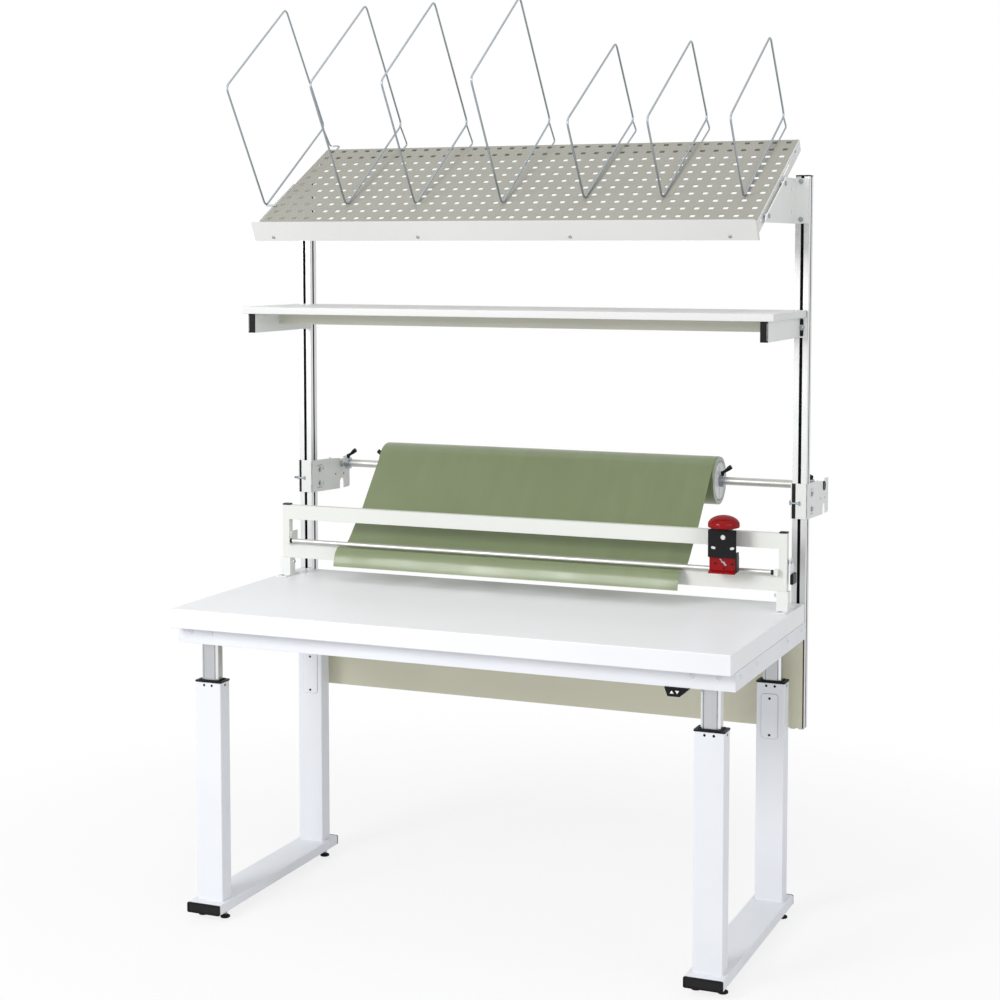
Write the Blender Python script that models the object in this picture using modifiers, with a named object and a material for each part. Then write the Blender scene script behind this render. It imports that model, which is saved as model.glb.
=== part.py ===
"""Height-adjustable packing table with a film roll, a film cutter, a shelf and a divider tray.

Run it with: blender --background --python part.py
Units are metres, +X is to the user's right, +Y is away from the user and +Z is up.
Every piece is first drawn in table coordinates, whose origin is on the floor under the middle of
the worktop, and place() then gives it its pivot and its parent.
"""

import math

import bmesh
import bpy
from mathutils import Matrix, Vector

# Fits
GAP = 0.0003
RUNNING_CLEARANCE = 0.00005
WELD_SINK = 0.001
MERGE_DISTANCE = 0.00001

# Rounding and how finely round shapes are cut
CORNER_STEPS = 3
ROUND_STEPS = 24
FINE_STEPS = 48
SMALL_STEPS = 12
WIRE_BEVEL_STEPS = 2
WIRE_SIDES = 8
SHARP_ANGLE = math.radians(32)

# Worktop and the frame under it
WORKTOP_WIDTH = 1.500
WORKTOP_DEPTH = 0.700
WORKTOP_THICKNESS = 0.050
WORKTOP_TOP = 0.831
WORKTOP_EDGE = 0.0015
RAIL_HEIGHT = 0.045
RAIL_THICKNESS = 0.012
FRONT_RAIL_SETBACK = 0.040
CORNER_PLATE_WIDTH = 0.090
CORNER_PLATE_DEPTH = 0.080
CORNER_PLATE_THICKNESS = 0.004

# Runners on the floor
RUNNER_INSET = 0.070
RUNNER_WIDTH = 0.098
RUNNER_HEIGHT = 0.0272
RUNNER_BOTTOM = 0.0206
RUNNER_WALL = 0.0025
RUNNER_CORNER = 0.004
RUNNER_SETBACK = 0.029
RUNNER_CAP_FACE = 0.0045
RUNNER_CAP_PLUG = 0.016
RUNNER_CAP_PLUG_WALL = 0.002

# Levelling feet, two to a strip under each end of a runner
FOOT_SPREAD = 0.066
FOOT_RADIUS = 0.013
FOOT_EDGE = 0.0015
FOOT_DISC = 0.006
FOOT_STUD_RADIUS = 0.006
FOOT_STRIP_DEPTH = 0.014
FOOT_STRIP_THICKNESS = 0.003
FRONT_FOOT_SETBACK = 0.056
REAR_FOOT_SETBACK = 0.053

# Lifting columns
COLUMN_WIDTH = 0.075
COLUMN_DEPTH = 0.047
COLUMN_WALL = 0.0025
COLUMN_CORNER = 0.003
COLUMN_BELOW_FRAME = 0.1067
FRONT_COLUMN_SETBACK = 0.0595
REAR_COLUMN_SETBACK = 0.0515
COLLAR_THICKNESS = 0.006
COLLAR_OVERHANG = 0.0015
INNER_WIDTH = 0.049
INNER_DEPTH = 0.032
INNER_CHAMFER = 0.005
INNER_GROOVE = 0.0015
INNER_GROOVE_INSET = 0.003
INNER_ABOVE_RUNNER = 0.1372

# Handset under the front rail
HANDSET_INSET = 0.1415
HANDSET_TOP_WIDTH = 0.063
HANDSET_SLANT = 0.0085
HANDSET_BOTTOM_WIDTH = 0.030
HANDSET_HEIGHT = 0.0224
HANDSET_PROUD = 0.002
HANDSET_DEPTH = 0.050
ROCKER_OFFSET = 0.003
ROCKER_WIDTH = 0.026
ROCKER_HEIGHT = 0.013
ROCKER_THICKNESS = 0.004
ROCKER_PROUD = 0.0015
ROCKER_POCKET_DEPTH = 0.006
ROCKER_AXLE_BACK = 0.0015

# Slotted uprights
UPRIGHT_SIZE = 0.0375
UPRIGHT_PAD = 0.004
UPRIGHT_BELOW_FRAME = 0.2417
UPRIGHT_RISE = 1.117
SLOT_MOUTH = 0.008
SLOT_LIP = 0.0035
SLOT_CHAMBER = 0.017
SLOT_SHOULDER = 0.006
SLOT_DEPTH = 0.0095
SLOT_FLOOR = 0.008

# Rear panel, held by its edges in the uprights' inner slots
PANEL_EDGE_IN_SLOT = 0.005
PANEL_BELOW_TOP = 0.031
PANEL_HEIGHT = 0.295

# Shelf
SHELF_RISE = 0.771
SHELF_THICKNESS = 0.0185
SHELF_DEPTH = 0.331
SHELF_CLEAR = 0.003
SHELF_PAST_UPRIGHT = 0.01375
ARM_WIDTH = 0.020
ARM_HEIGHT = 0.0522
ARM_PAST_UPRIGHT = -0.00225
ARM_SETBACK = 0.010
ARM_EDGE = 0.002
ARM_PLATE_INWARD = 0.02175
ARM_PLATE_OUTWARD = 0.01625
ARM_PLATE_THICKNESS = 0.0032
ARM_SLOT_WIDTH = 0.0075
ARM_SLOT_HEIGHT = 0.037
SHELF_RAIL_SETBACK = 0.152
SHELF_RAIL_THICKNESS = 0.020
SHELF_RAIL_HEIGHT = 0.032
SCREW_HEAD_RADIUS = 0.0055
SCREW_HEAD_HEIGHT = 0.004

# Tilted tray. Its own frame has X across, s up the slope and h square to the plate.
TRAY_FRONT_Y = 0.020
TRAY_BELOW_UPRIGHT = 0.1246
TRAY_TILT = math.radians(28.06)
TRAY_DEPTH = 0.4774
TRAY_SHEET = 0.002
TRAY_FLANGE = 0.033
TRAY_SLOT = (0.288, 0.356)
TRAY_SLOT_DROP = 0.0125
TRAY_SLOT_WIDTH = 0.0065
LIP_PAST_TRAY = 0.003
LIP_THICKNESS = 0.0147
LIP_HEIGHT = 0.051
LIP_PROUD = 0.0096
LIP_CORNER = 0.009

# Perforations: square holes in rows across the tray
HOLE_SIZE = 0.012
HOLE_COLUMNS = 37
HOLE_ROWS = 11
HOLE_SIDE_MARGIN = 0.025
HOLE_FRONT_MARGIN = 0.042
HOLE_REAR_MARGIN = 0.0164

# Tray brackets
TRAY_ARM_INWARD = 0.02175
TRAY_ARM_THICKNESS = 0.003
TRAY_ARM_SETBACK = 0.040
TRAY_ARM_BELOW_TOP = 0.005
TRAY_ARM_HEIGHT = 0.117
TRAY_ARM_NOSE = 0.012
TRAY_PLATE_OUTWARD = 0.01725
TRAY_BOLTS_ALONG = (0.249, 0.069)
TRAY_BOLT_DROP = 0.0155
TRAY_BUSH_LENGTH = 0.0095
TRAY_BUSH_RADIUS = 0.007

# Wire dividers, as corners of the loop in the tray's own frame
WIRE_RADIUS = 0.00275
WIRE_BEND = 0.018
WIRE_BEND_STEPS = 4
TALL_LOOP = ((0.110, 0.0), (0.075, 0.372), (0.480, 0.430), (0.530, 0.045))
SHORT_LOOP = ((0.135, 0.0), (0.112, 0.232), (0.550, 0.260), (0.590, 0.015))
LEG_RADIUS = 0.0024
LEG_DROP = 0.018
LEG_LEAN = 0.008
LEG_INSIDE = 0.0104
LEG_BEND = 0.010
OUTSIDE_DIVIDER_OFFSET = 0.022
OUTSIDE_LEG_INSET = 0.010
TALL_DIVIDER_SHARES = (-0.6743, -0.3786, -0.0200)
SHORT_DIVIDER_SHARES = (0.2971, 0.6000, 0.9057)

# Film roll and its shaft
SHAFT_BEHIND_UPRIGHT = 0.186
SHAFT_RISE = 0.291
SHAFT_RADIUS = 0.011
JOURNAL_RADIUS = 0.0125
JOURNAL_LENGTH = 0.012
SHAFT_END_LENGTH = 0.004
SHAFT_COLLAR_RADIUS = 0.017
SHAFT_COLLAR_WIDTH = 0.014
LEFT_COLLAR_INWARD = 0.04425
RIGHT_COLLAR_INWARD = 0.01325
ROLL_LEFT_INSET = 0.198
ROLL_RIGHT_INSET = 0.292
ROLL_RADIUS = 0.066
SPOOL_RADIUS = 0.0377
SPOOL_FLANGE_RADIUS = 0.0515
SPOOL_FLANGE = 0.004

# Wing levers on the shaft collars
LEVER_HUB_RADIUS = 0.0055
LEVER_HUB_HEIGHT = 0.009
LEVER_REACH = 0.026
LEVER_RISE = 0.019
LEVER_THICKNESS = 0.007

# Roll brackets, whose heights are measured from the shaft
BRACKET_SHEET = 0.003
BRACKET_FRONT_BELOW = 0.068
BRACKET_REAR_BELOW = 0.076
BRACKET_FRONT_ABOVE = 0.025
BRACKET_REAR_ABOVE = 0.0145
BRACKET_PAST_SHAFT = 0.050
BRACKET_FINGER_ABOVE = 0.018
BRACKET_CORNER = 0.006
HOOK_HALF_WIDTH = 0.013
HOOK_BELOW = 0.045
BRACKET_STUD_RADIUS = 0.004
LEFT_STUD_LENGTH = 0.017
RIGHT_STUD_LENGTH = 0.0057
BRACKET_STUD_BELOW = 0.027
BRACKET_STUD_BACK = 0.008
BRACKET_STRIP_DEPTH = 0.030
BRACKET_BOLT_BACK = 0.046
BRACKET_BOLTS_BELOW = (0.006, 0.046)

# Cutter frame, whose heights are measured from the worktop
CUTTER_SETBACK = 0.120
CUTTER_TUBE = 0.020
POST_INSET = 0.0265
POST_WIDTH = 0.021
FRAME_RISE = 0.202
UPPER_RAIL_HEIGHT = 0.040
LOWER_RAIL_RISE = 0.052
LOWER_RAIL_HEIGHT = 0.039
SOCKET_SIZE = 0.030
SOCKET_PLATE_WIDTH = 0.034
SOCKET_PLATE_DEPTH = 0.080
SOCKET_PLATE_THICKNESS = 0.003
SOCKET_PLATE_FORWARD = 0.005
SOCKET_SEAT_DEPTH = 0.0005
SOCKET_SCREW_RADIUS = 0.004
SOCKET_SCREW_LENGTH = 0.006
SOCKET_SCREW_DROP = 0.012
TAB_THICKNESS = 0.004
TAB_DEPTH = 0.037
TAB_BACK = 0.0135
TAB_BELOW_WINDOW = 0.007
TAB_HEIGHT = 0.042
ROD_FORWARD = 0.020
ROD_ABOVE_RAIL = 0.011
ROD_RADIUS = 0.0065
ROD_BLOCK_INWARD = 0.0215
ROD_BLOCK_OUTWARD = 0.0045
ROD_BLOCK_SIZE = 0.016

# Sliding cutter carriage
CARRIAGE_INWARD = 0.146
CARRIAGE_WIDTH = 0.075
CARRIAGE_FORWARD = 0.065
CARRIAGE_BELOW_RAIL = 0.023
CARRIAGE_ABOVE_FRAME = 0.009
CARRIAGE_HOOK = 0.004
CARRIAGE_HOOK_DEPTH = 0.021
CARRIAGE_FLANGE = 0.004
CARRIAGE_FLANGE_BELOW = 0.035
CARRIAGE_FLANGE_ABOVE = 0.015
CARRIAGE_FLANGE_FORWARD = 0.008
SHOE_WIDTH = 0.071
SHOE_SETBACK = 0.007
SHOE_ROD_CLEARANCE = 0.0008
SHOE_HEIGHT = 0.038
SHOE_LIP_REACH = 0.012
SHOE_LIP_DROP = 0.004
SHOE_LIP_THICKNESS = 0.003
KNOB_SETBACK = 0.016
KNOB_RADIUS = 0.041
KNOB_STEM_RADIUS = 0.015
KNOB_HEIGHT = 0.036
KNOB_RIM = 0.008
KNOB_NECK = 0.004
KNOB_DOME_STEPS = 5

# Clamp lever on the right post, as corners and a grip measured from its pivot
LEVER_PIVOT_BACK = 0.005
LEVER_PIVOT_ABOVE_RAIL = 0.036
LEVER_PIVOT_RADIUS = 0.005
LEVER_STANDOFF = 0.0043
LEVER_PLATE = 0.003
LEVER_PLATE_CORNERS = ((-0.007, -0.033), (0.032, -0.033), (0.032, -0.013), (0.010, 0.010), (-0.007, 0.010))
GRIP_SIZE = (0.008, 0.037, 0.028)
GRIP_CENTRE = (0.0185, -0.045)

# Film hanging from the roll through the cutter, as its middle line seen from the side
FILM_SHEET = 0.0012
FILM_SLACK = 0.0085
FILM_EDGE = 0.002
FILM_OVER_FRAME = (0.032, 0.003)
FILM_BEHIND_RAIL = (0.0235, -0.003)
FILM_TOWARDS_ROD = (0.026, 0.025)
FILM_AFTER_ROD = ((-0.020, -0.0115), (-0.042, -0.030), (-0.060, -0.053))
FILM_WRAP_START = math.radians(15)
FILM_WRAP_TURN = math.radians(105)
ROD_WRAP_STEPS = 6

# Colours as red, green and blue, then roughness and metallic
FINISHES = {
    "white_paint": ((0.86, 0.87, 0.88), 0.45, 0.0),
    "grey_paint": ((0.66, 0.66, 0.64), 0.5, 0.0),
    "beige_panel": ((0.66, 0.64, 0.55), 0.6, 0.0),
    "black_plastic": ((0.02, 0.02, 0.022), 0.5, 0.0),
    "red_plastic": ((0.62, 0.03, 0.03), 0.35, 0.0),
    "aluminium": ((0.78, 0.79, 0.80), 0.35, 1.0),
    "zinc": ((0.55, 0.57, 0.58), 0.35, 1.0),
    "green_film": ((0.30, 0.38, 0.22), 0.25, 0.0),
    "laminate": ((0.82, 0.83, 0.84), 0.5, 0.0),
}

# Places of the worktop, the runners and the columns
HALF_WIDTH = WORKTOP_WIDTH / 2
HALF_DEPTH = WORKTOP_DEPTH / 2
WORKTOP_BOTTOM = WORKTOP_TOP - WORKTOP_THICKNESS
RAIL_TOP = WORKTOP_BOTTOM - GAP
RAIL_BOTTOM = RAIL_TOP - RAIL_HEIGHT
FRONT_RAIL_Y = FRONT_RAIL_SETBACK - HALF_DEPTH
RUNNER_X = HALF_WIDTH - RUNNER_INSET
RUNNER_TOP = RUNNER_BOTTOM + RUNNER_HEIGHT
RUNNER_FRONT = RUNNER_SETBACK - HALF_DEPTH
RUNNER_REAR = HALF_DEPTH
FOOT_FRONT_Y = RUNNER_FRONT + FRONT_FOOT_SETBACK
FOOT_REAR_Y = RUNNER_REAR - REAR_FOOT_SETBACK
COLUMN_TOP = RAIL_BOTTOM - COLUMN_BELOW_FRAME
COLUMN_FRONT_Y = RUNNER_FRONT + FRONT_COLUMN_SETBACK
COLUMN_REAR_Y = RUNNER_REAR - REAR_COLUMN_SETBACK
INNER_BOTTOM = RUNNER_TOP + INNER_ABOVE_RUNNER
HANDSET_TOP = RAIL_BOTTOM - GAP
HANDSET_BOTTOM = HANDSET_TOP - HANDSET_HEIGHT
HANDSET_X = HALF_WIDTH - HANDSET_INSET
HANDSET_BOTTOM_X = HANDSET_X - HANDSET_SLANT
HANDSET_FRONT_Y = FRONT_RAIL_Y - HANDSET_PROUD
ROCKER_X = HANDSET_BOTTOM_X + ROCKER_OFFSET
ROCKER_Z = (HANDSET_TOP + HANDSET_BOTTOM) / 2

# Places of the uprights, the shelf and the tray
UPRIGHT_X = HALF_WIDTH - UPRIGHT_SIZE / 2
UPRIGHT_FRONT_Y = HALF_DEPTH + UPRIGHT_PAD
UPRIGHT_Y = UPRIGHT_FRONT_Y + UPRIGHT_SIZE / 2
UPRIGHT_BOTTOM = RAIL_BOTTOM - UPRIGHT_BELOW_FRAME
UPRIGHT_TOP = WORKTOP_TOP + UPRIGHT_RISE
PANEL_THICKNESS = SLOT_MOUTH - 2 * GAP
PANEL_TOP = WORKTOP_TOP - PANEL_BELOW_TOP
PANEL_BOTTOM = PANEL_TOP - PANEL_HEIGHT
SHELF_TOP = WORKTOP_TOP + SHELF_RISE
SHELF_HALF_WIDTH = UPRIGHT_X + SHELF_PAST_UPRIGHT
SHELF_REAR_Y = UPRIGHT_FRONT_Y - SHELF_CLEAR
SHELF_FRONT_Y = SHELF_REAR_Y - SHELF_DEPTH
SHELF_RAIL_Y = SHELF_FRONT_Y + SHELF_RAIL_SETBACK
ARM_TOP = SHELF_TOP - SHELF_THICKNESS - GAP
ARM_BOTTOM = ARM_TOP - ARM_HEIGHT
ARM_OUTER_X = UPRIGHT_X + ARM_PAST_UPRIGHT
ARM_FRONT_Y = SHELF_FRONT_Y + ARM_SETBACK
TRAY_ARM_INNER_X = UPRIGHT_X - TRAY_ARM_INWARD
TRAY_ARM_TOP = UPRIGHT_TOP - TRAY_ARM_BELOW_TOP
TRAY_ARM_BOTTOM = TRAY_ARM_TOP - TRAY_ARM_HEIGHT
TRAY_ARM_FRONT_Y = TRAY_FRONT_Y + TRAY_ARM_SETBACK
TRAY_HALF_WIDTH = TRAY_ARM_INNER_X - TRAY_BUSH_LENGTH
TRAY_FRONT_Z = UPRIGHT_TOP - TRAY_BELOW_UPRIGHT
HOLE_PITCH = 2 * (TRAY_HALF_WIDTH - HOLE_SIDE_MARGIN) / (HOLE_COLUMNS - 1)
HOLE_ROW_PITCH = (TRAY_DEPTH - HOLE_FRONT_MARGIN - HOLE_REAR_MARGIN) / (HOLE_ROWS - 1)
LIP_HALF_WIDTH = TRAY_HALF_WIDTH + LIP_PAST_TRAY
LIP_TOP = TRAY_FRONT_Z + LIP_PROUD
LIP_BOTTOM = LIP_TOP - LIP_HEIGHT
WIRE_LIFT = WIRE_RADIUS + GAP
WIRE_HOLE_RADIUS = (LEG_RADIUS + GAP) / math.cos(math.pi / WIRE_SIDES)
LEG_END = TRAY_DEPTH - LEG_INSIDE
OUTSIDE_DIVIDER_X = -(TRAY_HALF_WIDTH + OUTSIDE_DIVIDER_OFFSET)
OUTSIDE_LEG_X = OUTSIDE_LEG_INSET - TRAY_HALF_WIDTH
TALL_DIVIDERS_X = [OUTSIDE_DIVIDER_X] + [share * TRAY_HALF_WIDTH for share in TALL_DIVIDER_SHARES]
SHORT_DIVIDERS_X = [share * TRAY_HALF_WIDTH for share in SHORT_DIVIDER_SHARES]

# Places of the roll
SHAFT_Y = UPRIGHT_FRONT_Y + SHAFT_BEHIND_UPRIGHT
SHAFT_Z = WORKTOP_TOP + SHAFT_RISE
LEFT_COLLAR_X = LEFT_COLLAR_INWARD - UPRIGHT_X
RIGHT_COLLAR_X = UPRIGHT_X - RIGHT_COLLAR_INWARD
ROLL_LEFT_X = ROLL_LEFT_INSET - HALF_WIDTH
ROLL_RIGHT_X = HALF_WIDTH - ROLL_RIGHT_INSET
SPOOL_LEFT_X = ROLL_LEFT_X - GAP - SPOOL_FLANGE
SPOOL_RIGHT_X = ROLL_RIGHT_X + GAP + SPOOL_FLANGE

# Places of the cutter
CUTTER_Y = HALF_DEPTH - CUTTER_SETBACK
FRAME_TOP = WORKTOP_TOP + FRAME_RISE
UPPER_RAIL_BOTTOM = FRAME_TOP - UPPER_RAIL_HEIGHT
LOWER_RAIL_BOTTOM = WORKTOP_TOP + LOWER_RAIL_RISE
LOWER_RAIL_TOP = LOWER_RAIL_BOTTOM + LOWER_RAIL_HEIGHT
SOCKET_BOTTOM = WORKTOP_TOP - SOCKET_SEAT_DEPTH + GAP
SOCKET_TOP = LOWER_RAIL_BOTTOM - GAP
SOCKET_PLATE_Y = CUTTER_Y - SOCKET_PLATE_FORWARD
POST_X = HALF_WIDTH - POST_INSET
TAB_Y = CUTTER_Y + TAB_BACK
TAB_BOTTOM = LOWER_RAIL_TOP - TAB_BELOW_WINDOW
ROD_Y = CUTTER_Y - ROD_FORWARD
ROD_Z = LOWER_RAIL_TOP + ROD_ABOVE_RAIL
ROD_BLOCK_INNER_X = POST_X - ROD_BLOCK_INWARD
ROD_BLOCK_OUTER_X = POST_X + ROD_BLOCK_OUTWARD
CARRIAGE_X = POST_X - CARRIAGE_INWARD
CARRIAGE_FRONT_Y = CUTTER_Y - CARRIAGE_FORWARD
CARRIAGE_BOTTOM = UPPER_RAIL_BOTTOM - CARRIAGE_BELOW_RAIL
CARRIAGE_TOP = FRAME_TOP + CARRIAGE_ABOVE_FRAME
SHOE_FRONT_Y = CARRIAGE_FRONT_Y + SHOE_SETBACK
SHOE_REAR_Y = ROD_Y - ROD_RADIUS - SHOE_ROD_CLEARANCE
SHOE_BOTTOM = CARRIAGE_BOTTOM - SHOE_HEIGHT
KNOB_Y = CARRIAGE_FRONT_Y + KNOB_SETBACK
LEVER_PIVOT_Y = CUTTER_Y + LEVER_PIVOT_BACK
LEVER_PIVOT_Z = LOWER_RAIL_TOP + LEVER_PIVOT_ABOVE_RAIL

# The part's origin is under the middle of its outer box, so the table is shifted by this much
STUD_TIP_X = -(HALF_WIDTH + GAP + BRACKET_SHEET + LEFT_STUD_LENGTH)
BOLT_TIP_X = HALF_WIDTH + GAP + BRACKET_SHEET + SCREW_HEAD_HEIGHT
SHIFT_X = -(STUD_TIP_X + BOLT_TIP_X) / 2
SHIFT_Y = -(SHAFT_Y + ROLL_RADIUS - HALF_DEPTH) / 2

# Turns that carry a flat drawing or an upright cylinder into another plane
PLANE_YZ = Matrix(((0, 0, 1, 0), (1, 0, 0, 0), (0, 1, 0, 0), (0, 0, 0, 1)))
PLANE_XZ = Matrix(((1, 0, 0, 0), (0, 0, -1, 0), (0, 1, 0, 0), (0, 0, 0, 1)))
PLANE_XY = Matrix.Identity(4)
TRAY_FRAME = Matrix.Translation((0, TRAY_FRONT_Y, TRAY_FRONT_Z)) @ Matrix.Rotation(TRAY_TILT, 4, "X")

PARTS = "packing_table"


def clear_scene():
    """Remove every object and collection that the file opened with."""
    for thing in list(bpy.data.objects):
        bpy.data.objects.remove(thing, do_unlink=True)
    for collection in list(bpy.data.collections):
        bpy.data.collections.remove(collection)
    for name in (PARTS, "cutters"):
        collection = bpy.data.collections.new(name)
        bpy.context.scene.collection.children.link(collection)


def new_object(name, data):
    """Link a new object to the collection of parts."""
    thing = bpy.data.objects.new(name, data)
    bpy.data.collections[PARTS].objects.link(thing)
    return thing


def as_cutter(thing):
    """Move a tool of a Boolean to the collection of cutters."""
    bpy.data.collections[PARTS].objects.unlink(thing)
    bpy.data.collections["cutters"].objects.link(thing)
    thing.hide_render = True
    thing.display_type = "WIRE"


def evaluated_mesh(thing):
    """Return the thing's shape, modifiers included, as a mesh with its doubled points merged."""
    depsgraph = bpy.context.evaluated_depsgraph_get()
    mesh = bpy.data.meshes.new_from_object(thing.evaluated_get(depsgraph))
    work = bmesh.new()
    work.from_mesh(mesh)
    bmesh.ops.transform(work, matrix=thing.matrix_world, verts=work.verts)
    bmesh.ops.remove_doubles(work, verts=work.verts, dist=MERGE_DISTANCE)
    bmesh.ops.recalc_face_normals(work, faces=work.faces)
    work.to_mesh(mesh)
    work.free()
    return mesh


def bake(thing):
    """Replace an object that has modifiers or is a curve by its plain mesh."""
    mesh = evaluated_mesh(thing)
    name = thing.name
    bpy.data.objects.remove(thing, do_unlink=True)
    mesh.name = name
    return new_object(name, mesh)


def combine(target, tools, operation="UNION"):
    """Join tools to the target, or cut them out of it, and return the new mesh object."""
    for tool in tools:
        as_cutter(tool)
        modifier = target.modifiers.new(tool.name, "BOOLEAN")
        modifier.operation = operation
        modifier.solver = "EXACT"
        modifier.object = tool
    bpy.context.view_layer.update()
    joined = bake(target)
    for tool in tools:
        bpy.data.objects.remove(tool, do_unlink=True)
    return joined


def cut(target, tools):
    """Cut tools out of the target."""
    return combine(target, tools, "DIFFERENCE")


def box(name, low, high, edge=0.0):
    """Make a box between two corners, with its edges rounded where an edge radius is given."""
    low, high = Vector(low), Vector(high)
    mesh = bpy.data.meshes.new(name)
    work = bmesh.new()
    bmesh.ops.create_cube(work, size=1)
    size = high - low
    bmesh.ops.transform(work, matrix=Matrix.Diagonal((*size, 1)), verts=work.verts)
    bmesh.ops.translate(work, vec=(low + high) / 2, verts=work.verts)
    work.to_mesh(mesh)
    work.free()
    thing = new_object(name, mesh)
    if edge:
        bevel = thing.modifiers.new("edge", "BEVEL")
        bevel.width = edge
        bevel.segments = 1
        thing = bake(thing)
    return thing


def cylinder(name, radius, start, end, axis="Z", across=(0, 0), steps=SMALL_STEPS):
    """Make a cylinder along an axis from start to end, with its middle line at across."""
    mesh = bpy.data.meshes.new(name)
    work = bmesh.new()
    bmesh.ops.create_cone(
        work, cap_ends=True, segments=steps, radius1=radius, radius2=radius, depth=end - start
    )
    bmesh.ops.translate(work, vec=(0, 0, (start + end) / 2), verts=work.verts)
    if axis == "X":
        matrix = Matrix.Translation((0, *across)) @ PLANE_YZ
    elif axis == "Y":
        matrix = Matrix.Translation((across[0], 0, across[1])) @ Matrix.Rotation(-math.pi / 2, 4, "X")
    else:
        matrix = Matrix.Translation((*across, 0))
    bmesh.ops.transform(work, matrix=matrix, verts=work.verts)
    work.to_mesh(mesh)
    work.free()
    return new_object(name, mesh)


def plate(name, rings, thickness, middle, plane):
    """Extrude closed rings, the first with the others as holes, to a plate about its middle plane."""
    curve = bpy.data.curves.new(name, "CURVE")
    curve.dimensions = "2D"
    curve.fill_mode = "BOTH"
    curve.extrude = thickness / 2
    for ring in rings:
        spline = curve.splines.new("POLY")
        spline.points.add(len(ring) - 1)
        for point, (across, up) in zip(spline.points, ring):
            point.co = (across, up, 0, 1)
        spline.use_cyclic_u = True
    thing = new_object(name, curve)
    thing.matrix_world = plane @ Matrix.Translation((0, 0, middle))
    bpy.context.view_layer.update()
    return bake(thing)


def wire(name, points, radius, closed=False):
    """Make a round wire along points."""
    curve = bpy.data.curves.new(name, "CURVE")
    curve.dimensions = "3D"
    curve.bevel_depth = radius
    curve.bevel_resolution = WIRE_BEVEL_STEPS
    curve.use_fill_caps = True
    spline = curve.splines.new("POLY")
    spline.points.add(len(points) - 1)
    for point, place_of in zip(spline.points, points):
        point.co = (*place_of, 1)
    spline.use_cyclic_u = closed
    return bake(new_object(name, curve))


def turned(name, profile, axis_matrix, steps=ROUND_STEPS, closed=False):
    """Turn a profile of (radius, height) points about its axis with a Screw modifier."""
    mesh = bpy.data.meshes.new(name)
    work = bmesh.new()
    points = [work.verts.new((radius, 0, height)) for radius, height in profile]
    for first, second in zip(points, points[1:]):
        work.edges.new((first, second))
    if closed:
        work.edges.new((points[-1], points[0]))
    work.to_mesh(mesh)
    work.free()
    thing = new_object(name, mesh)
    screw = thing.modifiers.new("turn", "SCREW")
    screw.steps = steps
    screw.render_steps = steps
    screw.use_merge_vertices = True
    screw.merge_threshold = MERGE_DISTANCE
    thing.matrix_world = axis_matrix
    bpy.context.view_layer.update()
    return bake(thing)


def arc(centre, radius, start, end, steps):
    """Return points of an arc, in degrees from the drawing's first axis."""
    points = []
    for step in range(steps + 1):
        angle = math.radians(start + (end - start) * step / steps)
        points.append((centre[0] + radius * math.cos(angle), centre[1] + radius * math.sin(angle)))
    return points


def rounded_rectangle(width, height, radius, centre=(0, 0)):
    """Return a rectangle's outline with round corners."""
    across, up = width / 2 - radius, height / 2 - radius
    points = []
    for turn, (side, level) in enumerate(((1, 1), (-1, 1), (-1, -1), (1, -1))):
        middle = (centre[0] + side * across, centre[1] + level * up)
        points += arc(middle, radius, 90 * turn, 90 * (turn + 1), CORNER_STEPS)
    return points


def rectangle(width, height, centre=(0, 0)):
    """Return a rectangle's outline."""
    across, up = width / 2, height / 2
    corners = ((1, 1), (-1, 1), (-1, -1), (1, -1))
    return [(centre[0] + side * across, centre[1] + level * up) for side, level in corners]


def bend_corners(points, bend, closed):
    """Return a path whose corners are bent round, each as a short quadratic curve."""
    count = len(points)
    path = []
    for index, corner in enumerate(points):
        if not closed and index in (0, count - 1):
            path.append(Vector(corner))
            continue
        corner = Vector(corner)
        before = corner + (Vector(points[index - 1]) - corner).normalized() * bend
        after = corner + (Vector(points[(index + 1) % count]) - corner).normalized() * bend
        for step in range(WIRE_BEND_STEPS + 1):
            share = step / WIRE_BEND_STEPS
            blend = before * (1 - share) ** 2 + corner * (2 * share * (1 - share)) + after * share ** 2
            path.append(blend)
    return path


def material(name, finish):
    """Make a Principled material from a finish's colour, roughness and metallic value."""
    colour, roughness, metallic = FINISHES[finish]
    new = bpy.data.materials.new(name)
    new.use_nodes = True
    shader = new.node_tree.nodes["Principled BSDF"]
    shader.inputs["Base Color"].default_value = (*colour, 1)
    shader.inputs["Roughness"].default_value = roughness
    shader.inputs["Metallic"].default_value = metallic
    return new


def place(thing, finish, parent, pivot=(0, 0, 0), smooth=False):
    """Give a piece its material, its pivot in table coordinates and its parent."""
    mesh = thing.data
    mesh.materials.clear()
    mesh.materials.append(material(thing.name, finish))
    pivot = Vector(pivot)
    mesh.transform(Matrix.Translation(-pivot))
    for face in mesh.polygons:
        face.use_smooth = smooth
    if smooth:
        mesh.set_sharp_from_angle(angle=SHARP_ANGLE)
    thing.parent = parent
    thing.location = pivot - Vector(parent["spot"])
    return thing


def empty(name, spot, parent=None):
    """Make an empty at a spot in table coordinates. Its children are placed relative to it."""
    thing = new_object(name, None)
    thing["spot"] = spot
    if parent is None:
        thing.location = (SHIFT_X, SHIFT_Y, 0)
    else:
        thing.parent = parent
        thing.location = Vector(spot) - Vector(parent["spot"])
    return thing


def sides():
    """Return the name and the sign of the left and the right side."""
    return (("left", -1), ("right", 1))


def span(first, second):
    """Return two values in rising order."""
    return (min(first, second), max(first, second))


def mirrored_box(name, side, x_range, y_range, z_range, edge=0.0):
    """Make a box that is given for the right side, mirrored where the side is -1."""
    low_x, high_x = span(side * x_range[0], side * x_range[1])
    return box(name, (low_x, y_range[0], z_range[0]), (high_x, y_range[1], z_range[1]), edge)


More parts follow.
